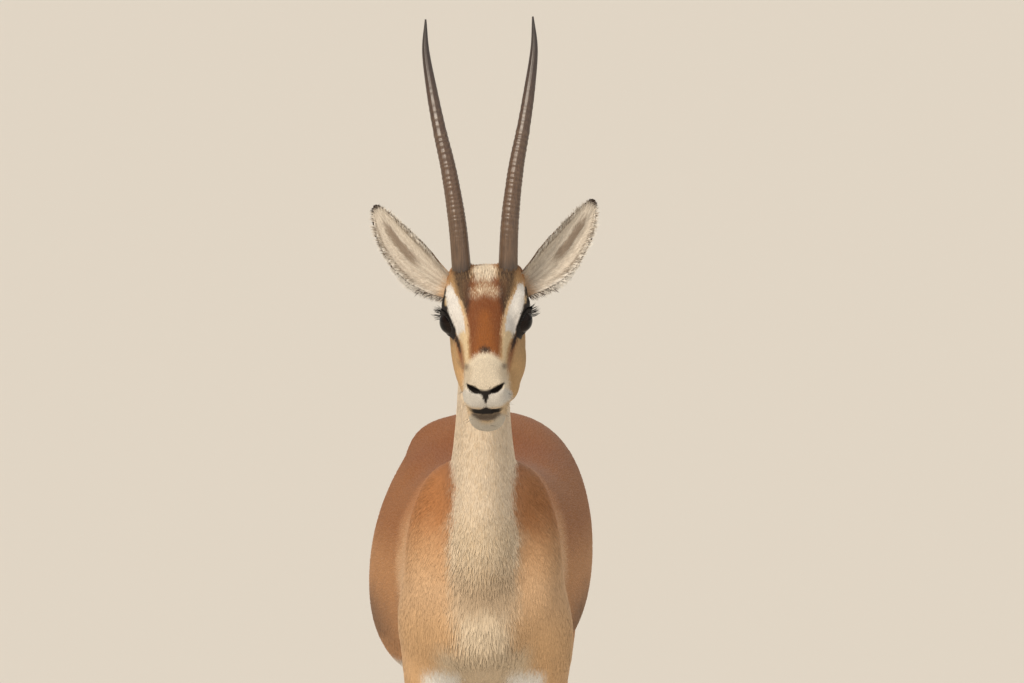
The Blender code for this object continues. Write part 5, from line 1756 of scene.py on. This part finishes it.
@dataclass
class Eye:
    """One dark eye: a ball with a raised clear front, a brown iris and a wide pupil."""

    skin: Skin
    name: str
    side: float
    bulge: float = 0.0010

    def facing(self) -> np.ndarray:
        """The way that the eye looks, in the row frame."""
        local = np.array((self.side * 1.0, 0.34, 0.10))
        return unit(local @ self.skin.head.axes)

    def centre(self) -> np.ndarray:
        """The middle of the ball, in the row frame."""
        x, u, v = self.skin.eye_place
        return self.skin.head.world((x * self.side, u, v))

    def build(self) -> bpy.types.Object:
        """Make the eye.

        Returns:
            The eye.
        """
        shape = bmesh.new()
        middle, facing = self.centre(), self.facing()
        turn = Vector(facing).to_track_quat("Z", "Y").to_matrix().to_4x4()
        bmesh.ops.create_uvsphere(shape, u_segments=64, v_segments=40,
                                  radius=self.skin.eye_radius,
                                  matrix=Matrix.Translation(Vector(middle)) @ turn)
        mesh = to_mesh(f"eye_ball_{self.name}", shape, outward=True)
        points = read_points(mesh)
        away = unit(points - middle)
        raised = self.bulge * ramp(0.70, 0.98, away @ facing)
        write_points(mesh, points + away * raised[:, None])
        write_values(mesh, "gaze", away @ facing)
        long_axis = unit(np.cross(facing, np.array(self.skin.head.axes[2])))
        short_axis = np.cross(long_axis, facing)
        oval = np.hypot((away @ long_axis) * 0.62, away @ short_axis)
        write_values(mesh, "pupil", np.where(away @ facing > 0.0, oval, 1.0))
        mesh.shade_smooth()
        item = new_object(f"eye_ball_{self.name}", mesh)
        mesh.materials.append(self.material())
        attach(item, "root")
        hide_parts(f"eye_{self.name}")
        return item

    def material(self) -> bpy.types.Material:
        """Wet cornea over a dark brown iris."""
        found = bpy.data.materials.get("wet_eye")
        if found:
            return found
        material, tree, shader = new_material("wet_eye")
        pupil = add_node(tree, "Attribute", {"attribute_name": "pupil"}, {})
        gaze = add_node(tree, "Attribute", {"attribute_name": "gaze"}, {})
        place = add_node(tree, "TexCoord", {}, {})
        rays = add_node(tree, "TexNoise", {"Scale": 420.0, "Detail": 3.0},
                        {"Vector": place.outputs["Object"]})
        ruffled = add_node(tree, "Math", {"operation": "MULTIPLY_ADD", 1: 0.08},
                           {0: rays.outputs["Fac"], 2: pupil.outputs["Fac"]})
        stops = ((0.30, "#040303"), (0.37, "#150d09"), (0.62, "#1c110a"), (0.74, "#070505"))
        iris = add_node(tree, "ValToRGB", {"stops": stops}, {"Fac": ruffled.outputs["Value"]})
        white = add_node(tree, "MapRange", {"From Min": 0.50, "From Max": 0.40},
                         {"Value": gaze.outputs["Fac"]})
        mixed = add_node(tree, "Mix", {"data_type": "RGBA", 7: (*linear("#1c1411"), 1.0)},
                         {0: white.outputs["Result"], 6: iris.outputs["Color"]})
        tree.links.new(mixed.outputs[2], shader.inputs["Base Color"])
        set_inputs(shader, {"Roughness": 0.06, "IOR": 1.34, "Specular IOR Level": 0.35})
        return material


@dataclass
class Hooves:
    """The eight claws, rounded off from their solids, with growth rings."""

    nodes: dict[str, bpy.types.Object]
    voxel: float = 0.0013
    rounds: int = 5
    ring_depth: float = 0.00022
    rings_per_metre: float = 2100.0

    def build(self, material: bpy.types.Material) -> None:
        """Make each claw.

        Args:
            material: Their finish.
        """
        for name in sorted(n for n in self.nodes if n.startswith("hoof_")):
            shape = bmesh.new()
            shape.from_mesh(self.nodes[name].data)
            bmesh.ops.remove_doubles(shape, verts=shape.verts, dist=1e-6)
            fine = from_mesh(with_modifiers(to_mesh(name, shape), [
                ("REMESH", {"mode": "VOXEL", "voxel_size": self.voxel})]))
            smooth(fine, fine.verts, self.rounds)
            fine.normal_update()
            for vert in fine.verts:
                flat = 1.0 - abs(vert.normal.z)
                ring = math.sin(vert.co.z * self.rings_per_metre)
                vert.co += vert.normal * self.ring_depth * flat * ring
            for vert in fine.verts:
                vert.co.z = max(vert.co.z, 0.0)
            mesh = to_mesh(name, fine)
            mesh.shade_smooth()
            item = new_object(name.replace("hoof", "claw"), mesh)
            mesh.materials.append(material)
            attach(item, "root")
            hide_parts(name)


def hoof_material() -> bpy.types.Material:
    """Hoof horn: near black, ringed across, scuffed paler towards its lower edge."""
    material, tree, shader = new_material("scuffed_hoof_horn")
    place = add_node(tree, "TexCoord", {}, {})
    bands = add_node(tree, "Mapping", {"Scale": (30.0, 30.0, 420.0)},
                     {"Vector": place.outputs["Object"]})
    rings = add_node(tree, "TexNoise", {"Scale": 1.0, "Detail": 4.0},
                     {"Vector": bands.outputs["Vector"]})
    height = add_node(tree, "SeparateXYZ", {}, {"Vector": place.outputs["Object"]})
    low = add_node(tree, "MapRange", {"From Min": 0.016, "From Max": 0.0},
                   {"Value": height.outputs["Z"]})
    tones = add_node(tree, "ValToRGB", {"stops": ((0.32, "#1d1815"), (0.70, "#4a3d33"))},
                     {"Fac": rings.outputs["Fac"]})
    worn = add_node(tree, "Mix", {"data_type": "RGBA", 7: (*linear("#6f6152"), 1.0)},
                    {0: low.outputs["Result"], 6: tones.outputs["Color"]})
    bump = add_node(tree, "Bump", {"Strength": 0.3, "Distance": 0.3 * MM},
                    {"Height": rings.outputs["Fac"]})
    tree.links.new(worn.outputs[2], shader.inputs["Base Color"])
    tree.links.new(bump.outputs["Normal"], shader.inputs["Normal"])
    set_inputs(shader, {"Roughness": 0.46})
    return material


def round_chart(roots: np.ndarray) -> np.ndarray:
    """Unwrap places on a cylinder round their middle.

    Args:
        roots: Where hairs grow.

    Returns:
        For each, its angle and height from 0.01 to 0.99.
    """
    low, high = roots.min(axis=0), roots.max(axis=0)
    away = roots - (low + high) / 2.0
    angle = np.arctan2(away[:, 1], away[:, 0]) / (2.0 * math.pi) + 0.5
    height = (roots[:, 2] - low[2]) / max(high[2] - low[2], MM)
    return 0.01 + 0.98 * np.stack((angle, height), axis=1)


@dataclass
class LongHair:
    """Lashes, whiskers and the tail's long hair, as single tapered locks."""

    skin: Skin
    materials: dict[str, bpy.types.Material]
    lashes_a_side: int = 64
    lash_width: float = 0.0007
    lash_length: float = 0.0130
    whiskers_a_side: int = 14
    whisker_width: float = 0.00026
    tail_hairs: int = 900
    dock_radius: float = 0.0062
    dock_length: float = 0.075

    def batch(self, name: str, slot: Slot, roots: np.ndarray, flow: np.ndarray, length: np.ndarray,
              width: np.ndarray, colour: np.ndarray, seed: int, *stands_for: str,
              droop: float = 0.0) -> None:
        """Put long hairs in the scene as one piece.

        Args:
            name: The piece's name.
            slot: Its material slot; not used.
            roots: Where the hairs grow.
            flow: The way that each points.
            length: Their lengths.
            width: Their widths.
            colour: Their linear colours.
            seed: For the small random turns.
            stands_for: The CAD nodes that it replaces.
            droop: How far the tips bend down.
        """
        flow = unit(flow)
        normals = unit(np.cross(flow, np.roll(flow, 1, axis=1) + (0.3, 0.1, 0.2)))
        normals = unit(np.cross(normals, flow))
        chart = round_chart(roots)
        batch = TuftBatch(roots, normals, flow, length, width, length * 0.02 + droop, colour,
                          chart, seed, curl=0.8, thickness=0.45, sink=0.0)
        hang_coat(name, batch.mesh(name), self.materials[LONG_COAT.name], slot, *stands_for)

    def lashes(self) -> None:
        """The dark lashes of both upper lids, longest at the outer corner."""
        chance = np.random.default_rng(91)
        roots, flow, length = [], [], []
        head = self.skin.head
        for side in SIDES.values():
            facing = np.array(self.skin.lid_facing)
            facing = unit(facing * (side, 1.0, 1.0))
            along = unit(np.cross(facing, (0.0, 0.0, 1.0)))
            upward = np.cross(along, facing)
            upward = upward if upward[2] > 0 else -upward
            centre = np.array(self.skin.eye_place) * (side, 1.0, 1.0)
            back = along if along[1] < 0.0 else -along
            for share in np.linspace(-0.12, 0.85, self.lashes_a_side):
                angle = math.pi * share
                ring = back * math.cos(angle) * 1.07 + upward * math.sin(angle) * 0.93
                place = centre + facing * (self.skin.lid_out + 0.0012) + ring * self.skin.lid_radius
                point = facing * 0.75 + ring * 0.55 + upward * 0.10 + chance.normal(0.0, 0.07, 3)
                roots.append(head.world(place))
                flow.append(unit(point) @ head.axes)
                reach = 0.45 + 0.55 * math.sin(math.pi * min(max(1.1 - share, 0.0), 1.0) * 0.62)
                length.append(self.lash_length * reach * chance.uniform(0.7, 1.15))
        size = len(roots)
        self.batch("eye_lashes", Slot.DARK, np.array(roots), np.array(flow), np.array(length),
                   np.full(size, self.lash_width), np.tile(linear("#0b0908"), (size, 1)), 92)

    def whiskers(self, surface: bpy.types.Object) -> None:
        """A few stiff dark whiskers on lips and chin.

        Args:
            surface: The skin that they are rooted in.
        """
        chance = np.random.default_rng(95)
        roots, flow, length = [], [], []
        head = self.skin.head
        for side in SIDES.values():
            for _ in range(self.whiskers_a_side):
                u, v = chance.uniform(0.118, 0.142), chance.uniform(-0.062, -0.006)
                start = Vector(head.world((side * 0.08, u, v)))
                hit, place, _, _ = surface.ray_cast(start, Vector(head.axes[0]) * -side)
                if not hit:
                    continue
                roots.append(np.array(place))
                point = np.array((side * 0.9, 0.35, -0.45)) + chance.normal(0.0, 0.20, 3)
                flow.append(unit(point) @ head.axes)
                length.append(chance.uniform(0.005, 0.012))
        size = len(roots)
        self.batch("whiskers", Slot.DARK, np.array(roots), np.array(flow), np.array(length),
                   np.full(size, self.whisker_width), np.tile(linear("#4a3e35"), (size, 1)), 96)

    def tail_tuft(self) -> None:
        """The black hair of the tail, in place of its solid."""
        chance = np.random.default_rng(101)
        low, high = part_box("tail_tuft")
        count = self.tail_hairs
        share = chance.random(count)
        angle = chance.uniform(0.0, 2.0 * math.pi, count)
        middle = np.array(((low.x + high.x) / 2.0, (low.y + high.y) / 2.0, 0.0))
        top = high.z - 0.006
        radius = self.dock_radius * (1.0 - 0.5 * share)
        roots = np.stack((middle[0] + radius * np.cos(angle), middle[1] + radius * np.sin(angle),
                          top - self.dock_length * share), 1)
        out = np.stack((np.cos(angle), 0.8 * np.sin(angle), np.full(count, -6.5)), 1)
        out += chance.normal(0.0, 0.22, (count, 3)) * (1.0, 1.0, 0.0)
        reach = roots[:, 2] - (low.z + 0.004)
        length = np.minimum(chance.uniform(0.055, 0.105, count), reach)
        colour = np.tile(linear("#1a1513"), (count, 1)) * chance.uniform(0.8, 1.5, count)[:, None]
        width = chance.uniform(0.0012, 0.0026, count)
        self.batch("tail_hair", Slot.DARK, roots, out, length, width, colour, 102, "tail_tuft")


@dataclass
class Studio:
    """A pale floor, soft light and the photograph's long camera."""

    eye_point: tuple = (0.0082, -0.4154, 1.0)
    distance: float = 15.0
    metres_per_pixel: float = 0.0013
    pixels_right: float = 26.0
    pixels_down: float = 20.5
    picture_width: int = 1024
    sensor: float = 36.0

    def floor(self) -> None:
        """A wide pale floor, out of the object's table."""
        shape = bmesh.new()
        bmesh.ops.create_grid(shape, x_segments=2, y_segments=2, size=120.0)
        item = new_object("floor", to_mesh("floor", shape))
        material, _, shader = new_material("pale_studio_floor")
        set_inputs(shader, {"Base Color": (*linear("#e0dbd3"), 1.0), "Roughness": 0.9})
        item.data.materials.append(material)

    def light(self, name: str, source: Sequence[float], spread: float, strength: float,
              colour: str) -> None:
        """Add light from one side, the same everywhere, with soft shadows.

        Args:
            name: Its name.
            source: The way that it comes from.
            spread: How wide it looks in the sky, in degrees.
            strength: Its strength.
            colour: Its colour as hex.
        """
        lamp = bpy.data.lights.new(name, "SUN")
        lamp.angle = math.radians(spread)
        lamp.energy = strength
        lamp.color = linear(colour)
        item = bpy.data.objects.new(name, lamp)
        item.rotation_euler = Vector(source).to_track_quat("Z", "Y").to_euler()
        bpy.context.scene.collection.objects.link(item)

    def camera(self) -> None:
        """The photograph's view: far off, a little above, a long lens."""
        look = Vector((0.0, math.cos(CAMERA_DROP), -math.sin(CAMERA_DROP)))
        up = Vector((0.0, math.sin(CAMERA_DROP), math.cos(CAMERA_DROP)))
        place = Vector(self.eye_point) - look * self.distance
        place += Vector((1.0, 0.0, 0.0)) * self.pixels_right * self.metres_per_pixel
        place -= up * self.pixels_down * self.metres_per_pixel
        lens = bpy.data.cameras.new("camera")
        lens.sensor_width = self.sensor
        lens.lens = self.distance / self.metres_per_pixel * self.sensor / self.picture_width
        lens.clip_end = 400.0
        item = bpy.data.objects.new("camera", lens)
        item.location = place
        item.rotation_euler = look.to_track_quat("-Z", "Y").to_euler()
        bpy.context.scene.collection.objects.link(item)
        bpy.context.scene.camera = item

    def build(self) -> None:
        """Set up floor, light and camera."""
        self.floor()
        self.light("key", (-3.2, -4.4, 4.4), 26.0, 2.5, "#fff3e2")
        self.light("fill", (4.4, -3.4, 2.6), 70.0, 0.40, "#f7f5f2")
        self.light("back", (1.2, 4.4, 3.4), 70.0, 0.45, "#fff4e4")
        world = bpy.data.worlds.new("studio")
        bpy.context.scene.world = world
        world.use_nodes = True
        sky = world.node_tree.nodes["Background"]
        sky.inputs["Color"].default_value = (*linear("#f1eee9"), 1.0)
        rays = add_node(world.node_tree, "LightPath", {}, {})
        level = add_node(world.node_tree, "MapRange", {"To Min": 0.42, "To Max": 0.84},
                         {"Value": rays.outputs["Is Camera Ray"]})
        world.node_tree.links.new(level.outputs["Result"], sky.inputs["Strength"])
        bpy.context.scene.view_settings.view_transform = "Standard"
        self.camera()


def main() -> None:
    """Build every piece of the animal and the studio round it."""
    logging.basicConfig(level=logging.INFO, format="%(message)s", stream=sys.stdout)
    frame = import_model()
    Studio().build()
    head = HeadFrame.from_eyes()
    markings = Markings(head, Markings.find_dewclaws(frame["nodes"]))
    ears = {name: Ear(head, side) for name, side in SIDES.items()}
    skin = Skin(head, markings, frame["nodes"], ears)
    materials = {finish.name: coat_material(finish)
                 for finish in (SKIN_FINISH, BODY_COAT, FACE_COAT, LONG_COAT)}
    surface = skin.build(materials[SKIN_FINISH.name])
    LOG.info("skin: %d triangles", len(surface.data.loops) - 2 * len(surface.data.polygons))
    thin = 1.0
    Coat(skin, surface, materials, thin).build()
    for name, ear in ears.items():
        EarHair(ear, name, materials[LONG_COAT.name]).build(thin)
    keratin = horn_material()
    for name, side in SIDES.items():
        Horn(head, name, side).build(keratin)
        Eye(skin, name, side).build()
    LOG.info("horns and eyes")
    Hooves(frame["nodes"]).build(hoof_material())
    long_hair = LongHair(skin, materials)
    long_hair.lashes()
    long_hair.whiskers(surface)
    long_hair.tail_tuft()
    bpy.context.view_layer.update()


if __name__ == "__main__":
    main()
